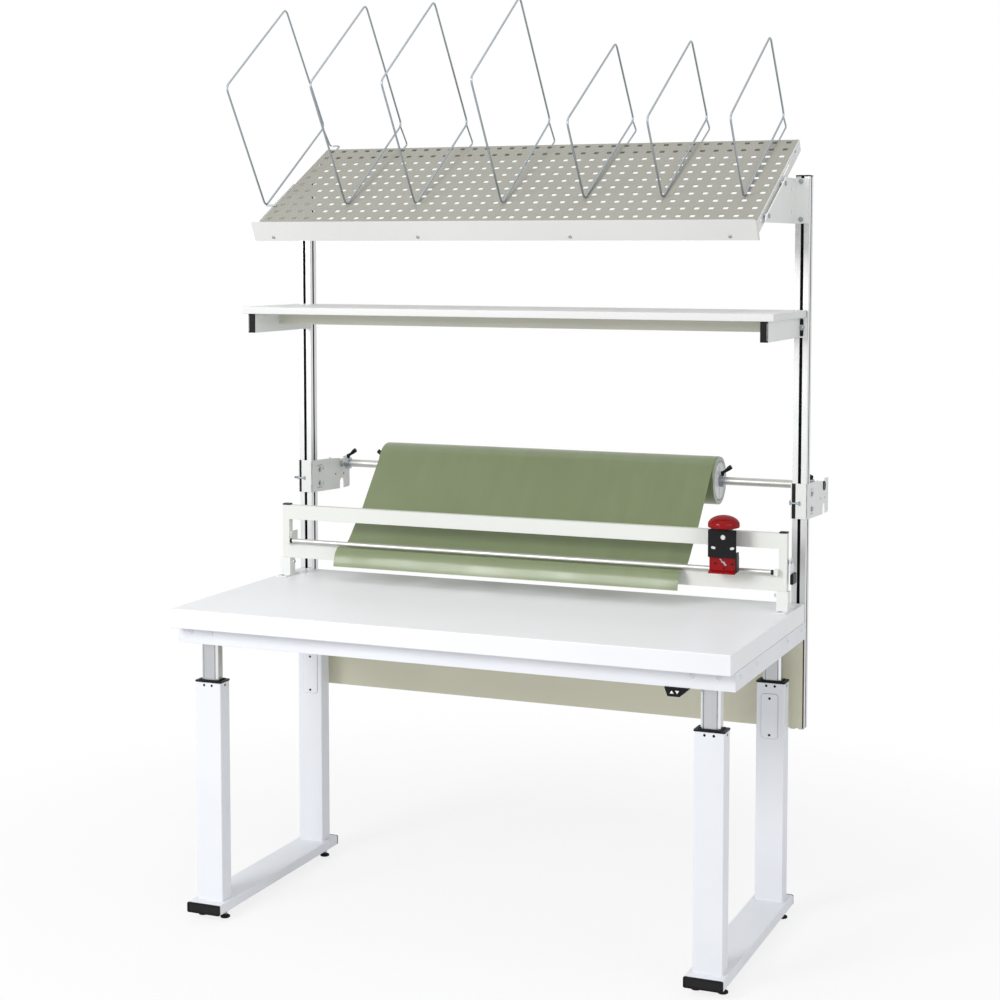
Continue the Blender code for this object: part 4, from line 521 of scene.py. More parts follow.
def arc(middle: Flat, radius: float, start: float, end: float, steps: int = 6) -> list[Flat]:
    """Return points along an arc.

    Args:
        middle: the arc's middle.
        radius: its radius.
        start: its first angle in degrees.
        end: its last angle in degrees.
        steps: how many chords it has.

    Returns:
        The points, both ends included.
    """
    turns = [math.radians(start + (end - start) * step / steps) for step in range(steps + 1)]
    return [(middle[0] + radius * math.cos(turn), middle[1] + radius * math.sin(turn)) for turn in turns]


def circle(middle: Flat, radius: float, steps: int = 20) -> list[Flat]:
    """Return a circle's outline."""
    return arc(middle, radius, 0, 360, steps)[:-1]


def stadium(first: Flat, second: Flat, radius: float) -> list[Flat]:
    """Return the outline of a slot with round ends between two middles."""
    lean = math.degrees(math.atan2(second[1] - first[1], second[0] - first[0]))
    return arc(second, radius, lean - 90, lean + 90) + arc(first, radius, lean + 90, lean + 270)


def rounded(low: Flat, high: Flat, radius: float, steps: int = 4) -> list[Flat]:
    """Return a rectangle's outline with round corners.

    Args:
        low: its low corner.
        high: its high corner.
        radius: the corners' radius.
        steps: how many chords a corner has.

    Returns:
        The outline's points.
    """
    left, bottom = (value + radius for value in low)
    right, top = (value - radius for value in high)
    corners = ((right, top), (left, top), (left, bottom), (right, bottom))
    return [
        spot
        for number, corner in enumerate(corners)
        for spot in arc(corner, radius, number * 90, number * 90 + 90, steps)
    ]


def bent(corners: Sequence[Spot], radius: float, closed: bool, steps: int = 7) -> list[Vector]:
    """Round the corners of a wire's path.

    Args:
        corners: the path's corners.
        radius: how far from a corner the bend starts.
        closed: whether the path is a loop.
        steps: how many chords a bend has.

    Returns:
        The path's points.
    """
    path = []
    for number, corner in enumerate(corners):
        if not closed and number in (0, len(corners) - 1):
            path.append(corner)
            continue
        before, after = corners[number - 1], corners[(number + 1) % len(corners)]
        start = corner + (before - corner).normalized() * radius
        end = corner + (after - corner).normalized() * radius
        for share in (step / steps for step in range(steps + 1)):
            path.append(start.lerp(corner, share).lerp(corner.lerp(end, share), share))
    return path


def stood(spot: Spot, axis: str, quarters: int = 1) -> Matrix:
    """Return the place of a turned shape on a spot, after quarter turns round an axis."""
    return Matrix.Translation(spot) @ Matrix.Rotation(quarters * math.pi / 2, 4, axis)


def moved(work: Surface, matrix: Matrix) -> Surface:
    """Return a surface carried elsewhere."""
    bmesh.ops.transform(work, matrix=matrix, verts=work.verts)
    return work


def closed_block(low: Spot, high: Spot) -> Surface:
    """Return a block between two opposite corners.

    Args:
        low: one corner.
        high: the opposite corner.

    Returns:
        The closed surface.
    """
    work = bmesh.new()
    bmesh.ops.create_cube(work, size=1)
    ends = [sorted(pair) for pair in zip(low, high)]
    for vertex in work.verts:
        vertex.co = Vector(pair[place > 0] for pair, place in zip(ends, vertex.co))
    return work


def skinned(
    rings: Sequence[Sequence[Spot]], looped: bool = False, capped: bool = True, shift: int = 0
) -> Surface:
    """Return the surface through rings of points.

    Args:
        rings: the rings. A ring of one point is a tip.
        looped: whether the last ring is joined to the first.
        capped: whether the first and last ring are closed by a face.
        shift: by how many points the first ring is turned where a loop closes.

    Returns:
        The surface.
    """
    work = bmesh.new()
    made = [[work.verts.new(spot) for spot in ring] for ring in rings]
    joined = made + ([made[0][shift:] + made[0][:shift]] if looped else [])
    for first, second in zip(joined, joined[1:]):
        for side in range(max(len(first), len(second))):
            places = (first, side), (first, side + 1), (second, side + 1), (second, side)
            work.faces.new(list(dict.fromkeys(ring[place % len(ring)] for ring, place in places)))
    for ring in (made[0], made[-1]) if capped else ():
        if len(ring) > 1:
            work.faces.new(ring)
    return work


def turned(rings: Rings, steps: int, place: Matrix) -> Surface:
    """Return a shape turned round its own Z axis.

    Args:
        rings: radius and height of each ring, and HEXAGON where it is one. A radius of zero
            closes an end.
        steps: how many sides the shape has.
        place: where the shape's axis stands.

    Returns:
        The closed surface.
    """
    angles = [2 * math.pi * step / steps for step in range(steps)]
    outlines = []
    for radius, height, *kind in rings:
        reaches = [(radius * reach_at(kind, angle), angle) for angle in (angles if radius else (0,))]
        outlines.append([
            place @ Vector((reach * math.cos(angle), reach * math.sin(angle), height))
            for reach, angle in reaches
        ])
    return skinned(outlines)


def drawn_wire(path: Sequence[Vector], radius: float, closed: bool, sides: int) -> Surface:
    """Return a round wire along a path, with softened ends where it is open.

    Args:
        path: the points of the wire's middle line.
        radius: the wire's radius.
        closed: whether the path is a loop.
        sides: how many sides the wire has.

    Returns:
        The closed surface.
    """
    across = None
    rings = []
    for number, point in enumerate(path):
        before = path[number - 1] if closed or number else point
        after = path[(number + 1) % len(path)] if closed or number < len(path) - 1 else point
        along = (after - before).normalized()
        across = across or along.orthogonal().normalized()
        across = (across - along * across.dot(along)).normalized()
        up = along.cross(across)
        turns = [2 * math.pi * side / sides for side in range(sides)]
        rings.append([point + radius * (math.cos(turn) * across + math.sin(turn) * up) for turn in turns])
    if closed:
        shift = min(range(sides), key=lambda side: (rings[0][side] - rings[-1][0]).length)
        return skinned(rings, looped=True, capped=False, shift=shift)
    tips = []
    for ring, point, inward in ((rings[0], path[0], path[1]), (rings[-1], path[-1], path[-2])):
        outward = (point - inward).normalized() * radius * TIP_REACH
        tips.append([point.lerp(spot, TIP_WIDTH) + outward for spot in ring])
    return skinned([tips[0], *rings, tips[1]])


def flat_plate(rings: Sequence[Sequence[Flat]], low: float, high: float, plane: Plane) -> Surface:
    """Return a plate cut to an outline, with holes.

    Args:
        rings: the outline and then its holes.
        low: where the plate starts, through its plane.
        high: where it ends.
        plane: the plane that it is drawn in.

    Returns:
        The closed surface.
    """
    curve = bpy.data.curves.new("outline", "CURVE")
    curve.dimensions = "2D"
    curve.fill_mode = "BOTH"
    curve.extrude = abs(high - low) / 2
    for ring in rings:
        spline = curve.splines.new("POLY")
        spline.points.add(len(ring) - 1)
        for point, (x, y) in zip(spline.points, ring):
            point.co = (x, y, 0, 1)
        spline.use_cyclic_u = True
    drawing = bpy.data.objects.new("outline", curve)
    mesh = bpy.data.meshes.new_from_object(drawing)
    bpy.data.objects.remove(drawing)
    bpy.data.curves.remove(curve)
    work = bmesh.new()
    work.from_mesh(mesh)
    bpy.data.meshes.remove(mesh)
    moved(moved(work, Matrix.Translation((0, 0, (low + high) / 2))), plane.matrix)
    bmesh.ops.remove_doubles(work, verts=work.verts, dist=FINE_MERGE)
    return work


def cad_surface(node: str) -> Surface:
    """Return a CAD node's surface with its flat faces joined up.

    Args:
        node: the CAD node.

    Returns:
        The surface in table coordinates.
    """
    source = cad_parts[node]
    work = bmesh.new()
    work.from_mesh(source.data)
    moved(work, Matrix.Translation(-ORIGIN) @ source.matrix_world)
    bmesh.ops.remove_doubles(work, verts=work.verts, dist=MERGE)
    bmesh.ops.dissolve_limit(work, angle_limit=FLAT_WITHIN, verts=work.verts, edges=work.edges)
    return work


def by_facing(level: Finish, upright: Finish) -> Callable[[Face], Finish]:
    """Return a choice between a board's finish and its edge band's."""
    return lambda face: level if abs(face.normal.z) > LEVEL_FACE else upright


def by_x(limit: float, inside: Finish, outside: Finish) -> Callable[[Face], Finish]:
    """Return a choice by how far a face lies from the table's middle."""
    return lambda face: outside if abs(face.calc_center_median().x) > limit else inside


class Shape:
    """Surface of one piece while it is being made."""

    def __init__(self) -> None:
        """Start an empty piece."""
        self.points: list[Vector] = []
        self.faces: list[list[int]] = []
        self.slots: list[int] = []
        self.edges: list[float] = []
        self.finishes: list[Finish] = []

    def slot_of(self, finish: Finish) -> int:
        """Return the number of a finish among the piece's own.

        Args:
            finish: the finish, added when it is new.

        Returns:
            Its number.
        """
        if finish not in self.finishes:
            self.finishes.append(finish)
        return self.finishes.index(finish)

    def take(
        self,
        work: Surface,
        finish: Finish,
        edge: float = 0.0,
        where: Callable[[Vector], bool] | None = None,
        choose: Callable[[Face], Finish] | None = None,
    ) -> "Shape":
        """Round a surface's edges and add it to the piece.

        Args:
            work: the surface, which is used up.
            finish: its finish.
            edge: how far its sharp edges are rounded, zero for none.
            where: tells by an edge's middle whether it is rounded.
            choose: tells a face's finish, in place of the one given.

        Returns:
            The piece, so that more can be added.
        """
        bmesh.ops.recalc_face_normals(work, faces=work.faces)
        soft = set()
        if edge > 0:
            sharp = [
                line
                for line in work.edges
                if line.is_manifold
                and line.calc_face_angle(0) > BEVELLED_FROM
                and (where is None or where((line.verts[0].co + line.verts[1].co) / 2))
            ]
            made = bmesh.ops.bevel(
                work, geom=sharp, offset=edge, offset_type="OFFSET", segments=2, profile=0.5,
                affect="EDGES", clamp_overlap=True,
            )
            soft = set(made["faces"])
        work.verts.index_update()
        start = len(self.points)
        self.points.extend(vertex.co.copy() for vertex in work.verts)
        for face in work.faces:
            self.faces.append([start + vertex.index for vertex in face.verts])
            self.slots.append(self.slot_of(choose(face) if choose else finish))
            self.edges.append(1.0 if face in soft else 0.0)
        work.free()
        return self

    def block(self, low: Spot, high: Spot, finish: Finish, edge: float = 0.0008) -> "Shape":
        """Add a block between two opposite corners."""
        return self.take(closed_block(low, high), finish, edge)

    def plate(
        self, rings: Sequence, low: float, high: float, plane: Plane, finish: Finish, edge: float = 0.0,
        where: Callable[[Vector], bool] | None = None,
    ) -> "Shape":
        """Add a flat plate: see flat_plate and take."""
        return self.take(flat_plate(rings, low, high, plane), finish, edge, where)

    def lathe(
        self, rings: Rings, steps: int, place: Matrix, finish: Finish, edge: float = 0.0,
        choose: Callable[[Face], Finish] | None = None,
    ) -> "Shape":
        """Add a turned shape: see turned and take."""
        return self.take(turned(rings, steps, place), finish, edge, choose=choose)

    def wire(
        self, path: Sequence[Vector], radius: float, finish: Finish, closed: bool = False, sides: int = 12
    ) -> "Shape":
        """Add a wire: see drawn_wire."""
        return self.take(drawn_wire(path, radius, closed, sides), finish)

    def hand_over(self, node: str, kind: str, slot: str, body: str = "table") -> bpy.types.Object:
        """Make the finished piece and tie it to its body.

        Args:
            node: the CAD node that it stands for.
            kind: what the piece is, for its name.
            slot: the record's material slot; not used.
            body: the CAD body that it moves with.

        Returns:
            The piece.
        """
        name = f"{node}_{kind}"
        mesh = bpy.data.meshes.new(name)
        mesh.from_pydata([point + ORIGIN for point in self.points], [], self.faces)
        mesh.polygons.foreach_set("material_index", self.slots)
        rubbed = mesh.attributes.new("edge", "FLOAT", "FACE")
        rubbed.data.foreach_set("value", self.edges)
        for finish in self.finishes:
            mesh.materials.append(finish.material())
        mesh.shade_smooth()
        mesh.set_sharp_from_angle(angle=SHADED_SHARP_FROM)
        piece = placed(name, mesh)
        piece.modifiers.new("even_normals", "WEIGHTED_NORMAL").keep_sharp = True
        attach(piece, body)
        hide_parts(node)
        LOG.info("%s: %d faces", name, len(self.faces))
        return piece


# Fasteners, placed by geometry nodes


class Head(Enum):
    """Kinds of screw head, as rings for a radius of one."""

    BUTTON = (
        (1, 0), (1, 0.12), (0.93, 0.34), (0.78, 0.5), (0.6, 0.56), (0.40, 0.56, HEXAGON),
        (0.38, 0.24, HEXAGON), (0, 0.2),
    )
    BOLT = (
        (1, 0), (1, 0.12), (0.95, 0.16), (0.70, 0.16, HEXAGON), (0.70, 0.50, HEXAGON), (0.66, 0.58),
        (0, 0.58),
    )
    PLUG = ((1, 0), (0.94, 0.12), (0.72, 0.17), (0.40, 0.17, HEXAGON), (0.38, 0.05, HEXAGON), (0, 0.04))


@dataclass(frozen=True)
class Fastener:
    """One screw: where its head sits, where it faces and its radius."""

    spot: Spot
    facing: Spot
    radius: float


class Fasteners:
    """Screw heads of the table, gathered by body, kind and finish."""

    def __init__(self) -> None:
        """Start with no screws."""
        self.rows: dict[tuple[str, Head, Finish], list[Fastener]] = {}

    def add(
        self, spots: Sequence[Spot], facing: Spot, radius: float, head: Head, finish: Finish,
        body: str = "table",
    ) -> None:
        """Note screws that face one way.

        Args:
            spots: the middles of their heads' seats.
            facing: which way they face.
            radius: the radius of their heads.
            head: their kind.
            finish: their finish.
            body: the CAD body that they move with.
        """
        row = self.rows.setdefault((body, head, finish), [])
        row.extend(Fastener(spot, facing, radius) for spot in spots)

    @staticmethod
    def group() -> Group:
        """Make the node group that sets a screw head on each point.

        Returns:
            The group.
        """
        group = Group("screw_heads", {"Seats": "Geometry", "Head": "Object", "Finish": "Material"})
        facing, radius = (
            group.node(
                "GeometryNodeInputNamedAttribute", {"data_type": kind}, {"Name": name}
            ).outputs["Attribute"]
            for name, kind in (("facing", "FLOAT_VECTOR"), ("radius", "FLOAT"))
        )
        head = group.node("GeometryNodeObjectInfo", inputs={"Object": group.given["Head"]})
        inputs = {
            "Points": group.given["Seats"],
            "Instance": head.outputs["Geometry"],
            "Rotation": group.node("FunctionNodeAlignRotationToVector", {"axis": "Z"}, {"Vector": facing}),
            "Scale": radius,
        }
        return group.ended("Screws", group.node("GeometryNodeInstanceOnPoints", inputs=inputs))

    def build(self) -> None:
        """Make one piece for each body, kind and finish."""
        group = self.group()
        numbers: dict[str, int] = {}
        for (body, head, finish), row in self.rows.items():
            numbers[body] = numbers.get(body, 0) + 1
            name = f"screws_{body}_{numbers[body]}"
            master = placed("screw_head", bpy.data.meshes.new("screw_head"))
            work = turned(head.value, HEAD_SIDES, Matrix.Identity(4))
            bmesh.ops.recalc_face_normals(work, faces=work.faces)
            work.to_mesh(master.data)
            work.free()
            seats = bpy.data.meshes.new("screw_seats")
            seats.from_pydata([Vector(screw.spot) + ORIGIN for screw in row], [], [])
            facing = seats.attributes.new("facing", "FLOAT_VECTOR", "POINT")
            facing.data.foreach_set("vector", [part for screw in row for part in screw.facing])
            radius = seats.attributes.new("radius", "FLOAT", "POINT")
            radius.data.foreach_set("value", [screw.radius for screw in row])
            mesh = group.run(name, seats, {"Head": master, "Finish": finish.material()})
            bpy.data.objects.remove(master)
            mesh.shade_smooth()
            mesh.set_sharp_from_angle(angle=SCREW_SHARP_FROM)
            piece = placed(name, mesh)
            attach(piece, body)
            LOG.info("%s: %d heads", name, len(row))


# Sub-assemblies


@dataclass
class Assembly:
    """A sub-assembly of the table, which notes its screws as it is made.

    Attributes:
        fasteners: where the screws are noted.
    """

    fasteners: Fasteners


@dataclass
class FloorBase(Assembly):
    """Runners, caps, feet and outer columns.

    Attributes:
        wall: thickness of the tubes' walls.
        rim: width of a cap's raised rim.
        face: thickness of a cap's face.
        sunk: depth of the panel inside the rim.
        plug: how far a cap's plug stands in from its sides.
        foot_x: half the distance between two feet.
        pad: rings of a foot.
        cover: size of the access cover on a rear column.
        cover_rise: where the cover starts above the floor.
        cover_out: how far the cover stands out.
        bead: radius of the weld round a column's foot.
        screw: radius of the dark screws in the columns.
        screw_x: half the distance between a column's two screws.
        screw_drop: how far these screws lie below the column's top.
        runner_corners: radii of a runner's, a cap's and a collar's corners, outside and inside.
        column_corners: radii of a column's corners, outside and in its bore.
        plug_corners: radii of a plug's corners, outside and in its bore.
        plug_bore: inset of a plug's bore, as a share of the plug's.
        lap: how far the panel reaches under the rim.
        strip: half width and thickness of the strip between two feet.
        stud: radii of a stud's thread.
        stud_start: where the thread starts above the floor.
        threads: steps of the thread.
        nut: half width and height of a foot's nut.
        cover_corner: radius of the cover's corners.
        cover_shift: how far the cover's middle lies from the column's.
        cover_screws: places of its screws from its lower and upper edge.
        gasket: how far the gasket shows round the cover.
        sleeve: how far the collar's wiper edge reaches past the inner column.
        play: gap between a collar and its column.
        flange: thickness of the collar's lower step.
        body: the CAD body of the base.
    """

    wall: float = 0.0025
    rim: float = 0.0035
    face: float = 0.0045
    sunk: float = 0.0014
    plug: float = 0.003
    foot_x: float = 0.033
    pad: Rings = (
        (0, 0), (0.0118, 0), (0.013, 0.0012), (0.013, 0.0042), (0.012, 0.0054), (0.0085, 0.0062),
        (0.0070, 0.0085), (0, 0.0085),
    )
    cover: Flat = (0.0445, 0.118)
    cover_rise: float = 0.4825
    cover_out: float = 0.0016
    bead: float = 0.0016
    screw: float = 0.0034
    screw_x: float = 0.0114
    screw_drop: float = 0.0075
    runner_corners: Flat = (0.004, 0.002)
    column_corners: Flat = (0.003, 0.001)
    plug_corners: Flat = (0.0015, 0.001)
    plug_bore: float = 1.7
    lap: float = 0.0005
    strip: Flat = (0.007, 0.003)
    stud: Flat = (0.0039, 0.0046)
    stud_start: float = 0.0080
    threads: int = 13
    nut: Flat = (0.0066, 0.0046)
    cover_corner: float = 0.0085
    cover_shift: float = 0.0018
    cover_screws: Flat = (0.009, -0.012)
    gasket: float = 0.0006
    sleeve: float = 0.005
    play: float = 0.0004
    flange: float = 0.0042
    body: str = "floor_base"

    def runner(self, side: str) -> None:
        """Make a runner as a tube with round corners and the welds of its columns.

        Args:
            side: left or right.
        """
        node = f"runner_{side}"
        box = extent(node)
        outer, inner = self.runner_corners
        rings = [box.outline(Plane.FRONT, outer), box.outline(Plane.FRONT, inner, -self.wall)]
        shape = Shape().plate(rings, box.low.y, box.high.y, Plane.FRONT, COOL_WHITE)
        for end in ENDS:
            foot = extent(f"outer_column_{side}_{end}").outline(Plane.LEVEL, self.column_corners[0])
            path = [Vector((*spot, box.high.z + self.bead * 0.4)) for spot in foot]
            shape.wire(path, self.bead, COOL_WHITE, True, 8)
        shape.hand_over(node, "tube", "white_paint", self.body)

    def cap(self, node: str) -> None:
        """Make an end cap with a raised rim, a sunk panel and its plug.

        Args:
            node: its CAD node.
        """
        box = extent(node)
        start, inward = (box.low.y, 1) if node.endswith("front") else (box.high.y, -1)
        outline = partial(box.outline, Plane.FRONT)
        back = start + inward * self.face
        outer, inner = self.runner_corners
        rings = [outline(outer), outline(inner, -self.rim)]
        shape = Shape().plate(rings, start, back, Plane.FRONT, BLACK, 0.0006)
        panel = outline(inner, self.lap - self.rim)
        shape.plate([panel], start + inward * self.sunk, back, Plane.FRONT, RUBBER)
        outer, inner = self.plug_corners
        plug = [outline(outer, -self.plug), outline(inner, -self.plug * self.plug_bore)]
        shape.plate(plug, back, start + inward * box.size.y, Plane.FRONT, BLACK, 0.0004)
        shape.hand_over(node, "moulding", "black_plastic", self.body)

    def feet(self, node: str) -> None:
        """Make a pair of levelling feet with their studs, nuts and strip.

        Args:
            node: its CAD node.
        """
        box = extent(node)
        x, y, _ = box.middle
        half, thickness = self.strip
        strip = box.high.z - thickness
        low = (x - self.foot_x, y - half, strip)
        shape = Shape().block(low, (x + self.foot_x, y + half, box.high.z), ZINC, 0.0006)
        start, count = self.stud_start, self.threads
        stud = [
            (self.stud[step % 2], start + step * (strip - start) / count) for step in range(count + 1)
        ]
        nut_radius, nut_height = self.nut
        nut = [(nut_radius, strip - nut_height, HEXAGON), (nut_radius, strip - 0.0002, HEXAGON)]
        for side in BOTH:
            place = Matrix.Translation((x + side * self.foot_x, y, 0))
            shape.lathe(self.pad, 28, place, RUBBER)
            shape.lathe(stud, 16, place, ZINC)
            shape.lathe(nut, 24, place, ZINC, 0.0004)
        shape.hand_over(node, "set", "black_plastic", self.body)

    def column(self, node: str) -> None:
        """Make an outer column with its screws and, at the rear, its access cover.

        Args:
            node: its CAD node.
        """
        box = extent(node)
        outer, inner = self.column_corners
        rings = [box.outline(Plane.LEVEL, outer), box.outline(Plane.LEVEL, inner, -self.wall)]
        shape = Shape().plate(rings, box.low.z, box.high.z, Plane.LEVEL, COOL_WHITE, 0.0005)
        screws = partial(
            self.fasteners.add, radius=self.screw, head=Head.PLUG, finish=BLACK, body=self.body
        )
        front, height = box.low.y, box.high.z - self.screw_drop
        if node.endswith("rear"):
            middle = box.middle.x - side_of(node) * self.cover_shift
            low = (middle - self.cover[0] / 2, self.cover_rise)
            high = (middle + self.cover[0] / 2, self.cover_rise + self.cover[1])
            wide = [value - self.gasket for value in low], [value + self.gasket for value in high]
            gasket = rounded(*wide, self.cover_corner + 0.0005)
            shape.plate([gasket], front - 0.0004, front + 0.0003, Plane.FRONT, RUBBER)
            out = front - self.cover_out
            cover = rounded(low, high, self.cover_corner, 6)
            shape.plate([cover], out, front, Plane.FRONT, COOL_WHITE, 0.0006)
            for (_, z), offset in zip((low, high), self.cover_screws):
                screws([(middle, out, z + offset)], FRONTWARD)
        screws([(box.middle.x + side * self.screw_x, front, height) for side in BOTH], FRONTWARD)
        for facing, x in zip(BOTH, (box.low.x, box.high.x)):
            screws([(x, box.middle.y, height)], (facing, 0, 0))
        shape.hand_over(node, "tube", "white_paint", self.body)

    def collar(self, node: str) -> None:
        """Make a guide collar with a stepped wiper edge.

        Args:
            node: its CAD node.
        """
        box, inner = extent(node), extent(node.replace("guide_collar", "inner_column"))
        outer, bore = self.runner_corners
        hole = inner.outline(Plane.LEVEL, bore, self.play)
        rings, step = [box.outline(Plane.LEVEL, outer), hole], box.low.z + self.flange
        shape = Shape().plate(rings, box.low.z, step, Plane.LEVEL, BLACK, 0.0007)
        rings = [inner.outline(Plane.LEVEL, outer, self.sleeve), hole]
        shape.plate(rings, box.low.z + 0.004, box.high.z, Plane.LEVEL, RUBBER, 0.0006)
        shape.hand_over(node, "moulding", "black_plastic", self.body)

    def build(self) -> None:
        """Make the whole floor base."""
        for side in SIDES:
            self.runner(side)
            for end in ENDS:
                self.cap(f"runner_cap_{side}_{end}")
                self.feet(f"feet_{side}_{end}")
                self.column(f"outer_column_{side}_{end}")
                self.collar(f"guide_collar_{side}_{end}")


@dataclass
class Worktop(Assembly):
    """Board, its frame, the inner columns, the rear panel and the handset.

    Attributes:
        board_edge: how far the board's edges are rounded.
        rim_width: width of the strip along the board's outside in which edges are rounded.
        frame_edge: how far the frame's edges are rounded.
        bolt: radius of the frame's painted bolt heads.
        bolts_y: places of the bolts in the frame's sides.
        bolts_x: places of the bolts in its front.
        bolt_rise: how far the bolts lie above the middle of the frame.
        weld: radius of a corner weld.
        rear_weld_y: place of the rear corner welds.
        groove: distance of a guide groove from a column's side.
        groove_half: half of a groove's width.
        panel_edge: how far the rear panel's edges are rounded.
        seal: width of the brown strip at each end of the rear panel, painted as the shadow in the gap beside
            the uprights.
        skin: thickness of the panel's front skin.
        mark: half width and half height of a mark on the rocker.
        mark_share: place of the marks, as a share of half of the rocker's width.
        skin_drop: how far the skin hangs below the panel's sheet.
    """

    board_edge: float = 0.0018
    rim_width: float = 0.004
    frame_edge: float = 0.0012
    bolt: float = 0.0058
    bolts_y: Spot = (-0.270, -0.123, 0.174, 0.325)
    bolts_x: Spot = (0.6445, 0.709, -0.713, -0.653)
    bolt_rise: float = 0.008
    weld: float = 0.0011
    rear_weld_y: float = 0.3494
    groove: float = 0.0078
    groove_half: float = 0.0012
    panel_edge: float = 0.0008
    seal: float = 0.0034
    skin: float = 0.0034
    mark: Flat = (0.0050, 0.0038)
    mark_share: float = 0.52
    skin_drop: float = 0.0075

    def board(self) -> None:
        """Make the board with its edge band."""
        box = extent("worktop")

        def outside(spot: Vector) -> bool:
            """Tell whether a point is on the board's outer edges."""
            gaps = (abs(spot.x) - box.high.x, spot.y - box.low.y, spot.y - box.high.y)
            return min(abs(gap) for gap in gaps) < self.rim_width

        shape = Shape().take(cad_surface("worktop"), BOARD, self.board_edge, outside, by_facing(BOARD, BAND))
        shape.hand_over("worktop", "board", "laminate")

    def frame(self) -> None:
        """Make the welded frame with its bolts and corner welds."""
        box = extent("table_frame")
        shape = Shape().take(cad_surface("table_frame"), COOL_WHITE, self.frame_edge)
        screws = partial(self.fasteners.add, radius=self.bolt, head=Head.BUTTON, finish=COOL_WHITE)
        level = box.middle.z + self.bolt_rise
        for side in BOTH:
            for y in (box.low.y + 0.0006, self.rear_weld_y):
                x = side * (box.high.x - 0.0006)
                path = [Vector((x, y, z)) for z in (box.low.z + 0.002, box.high.z - 0.001)]
                shape.wire(path, self.weld, COOL_WHITE, False, 8)
            screws([(side * box.high.x, y, level) for y in self.bolts_y], (side, 0, 0))
        screws([(x, box.low.y, level) for x in self.bolts_x], FRONTWARD)
        shape.hand_over("table_frame", "weldment", "white_paint")

    @staticmethod
    def corner_highlight(face: Face) -> Finish:
        """Tell a column face's finish: its cut corners get a lighter copy of the metal as painted highlight.
        """
        slanted = min(abs(face.normal.x), abs(face.normal.y)) > 0.5
        return COLUMN_HIGHLIGHT if slanted and face.calc_area() > 0.001 else COLUMN_METAL

    def column(self, node: str) -> None:
        """Make a sliding column with near-black strips in its guide grooves as painted shade.

        Args:
            node: its CAD node.
        """
        box = extent(node)
        shape = Shape().take(cad_surface(node), COLUMN_METAL, 0.0004, choose=self.corner_highlight)
        # The guide grooves' shade is painted as near-black strips.
        for facing, y in zip(BOTH, (box.low.y, box.high.y)):
            for x in (box.low.x + self.groove, box.high.x - self.groove):
                half = self.groove_half
                low = (x - half, y - facing * half, box.low.z)
                shape.block(low, (x + half, y - facing * 0.0016, box.high.z), PAINTED_SHADE, 0)
        shape.hand_over(node, "profile", "aluminium")

    def panel(self) -> None:
        """Make the rear panel: a sheet in the uprights' slots and a skin in front of them."""
        box, rim = extent("rear_panel"), extent("table_frame")
        back, side_x = rim.high.y, rim.high.x
        front, reach = back - self.skin, side_x - self.seal
        bottom, top = box.low.z - self.skin_drop, rim.low.z - 0.0006
        shape = Shape().block(box.low, box.high, BEIGE, self.panel_edge)
        shape.block((-reach, front, bottom), (reach, back, top), BEIGE, self.panel_edge)
        # A brown strip at each end of the skin is painted shadow of the gap beside the upright.
        for side in BOTH:
            shape.block((side * (reach + 0.0001), front, bottom), (side * side_x, back, top), GAP_SHADE_BROWN, 0.0003)
            low = (side * (box.high.x - 0.012), back - 0.0002, bottom + 0.004)
            shape.block(low, (side * (box.high.x - 0.0060), box.low.y + 0.0002, top - 0.02), BEIGE, 0)
        shape.hand_over("rear_panel", "sheet", "beige_panel")

    def handset(self) -> None:
        """Make the handset's case and its marked rocker."""
        Shape().take(cad_surface("handset"), BLACK, 0.0011).hand_over("handset", "case", "black_plastic")
        box = extent("handset_rocker")
        (left, front), (right, back) = box.corners(Plane.LEVEL)
        x, _, z = box.middle
        dip = [(x + side * 0.002, front + 0.0009) for side in BOTH]
        outline = [(left, back), (left, front), *dip, (right, front), (right, back)]
        shape = Shape().plate([outline], box.low.z, box.high.z, Plane.LEVEL, BLACK, 0.0005)
        for side in BOTH:
            half, rise = self.mark[0], side * self.mark[1]
            middle = x + side * box.size.x / 2 * self.mark_share
            mark = [(middle - half, z + rise), (middle + half, z + rise), (middle, z - rise)]
            shape.plate([mark], front + 0.0001, front + 0.0008, Plane.FRONT, MARKING)
        shape.hand_over("handset_rocker", "key", "black_plastic", "rocker")

    def build(self) -> None:
        """Make the worktop and what hangs from it."""
        self.board()
        self.frame()
        for side in SIDES:
            for end in ENDS:
                self.column(f"inner_column_{side}_{end}")
        self.panel()
        self.handset()


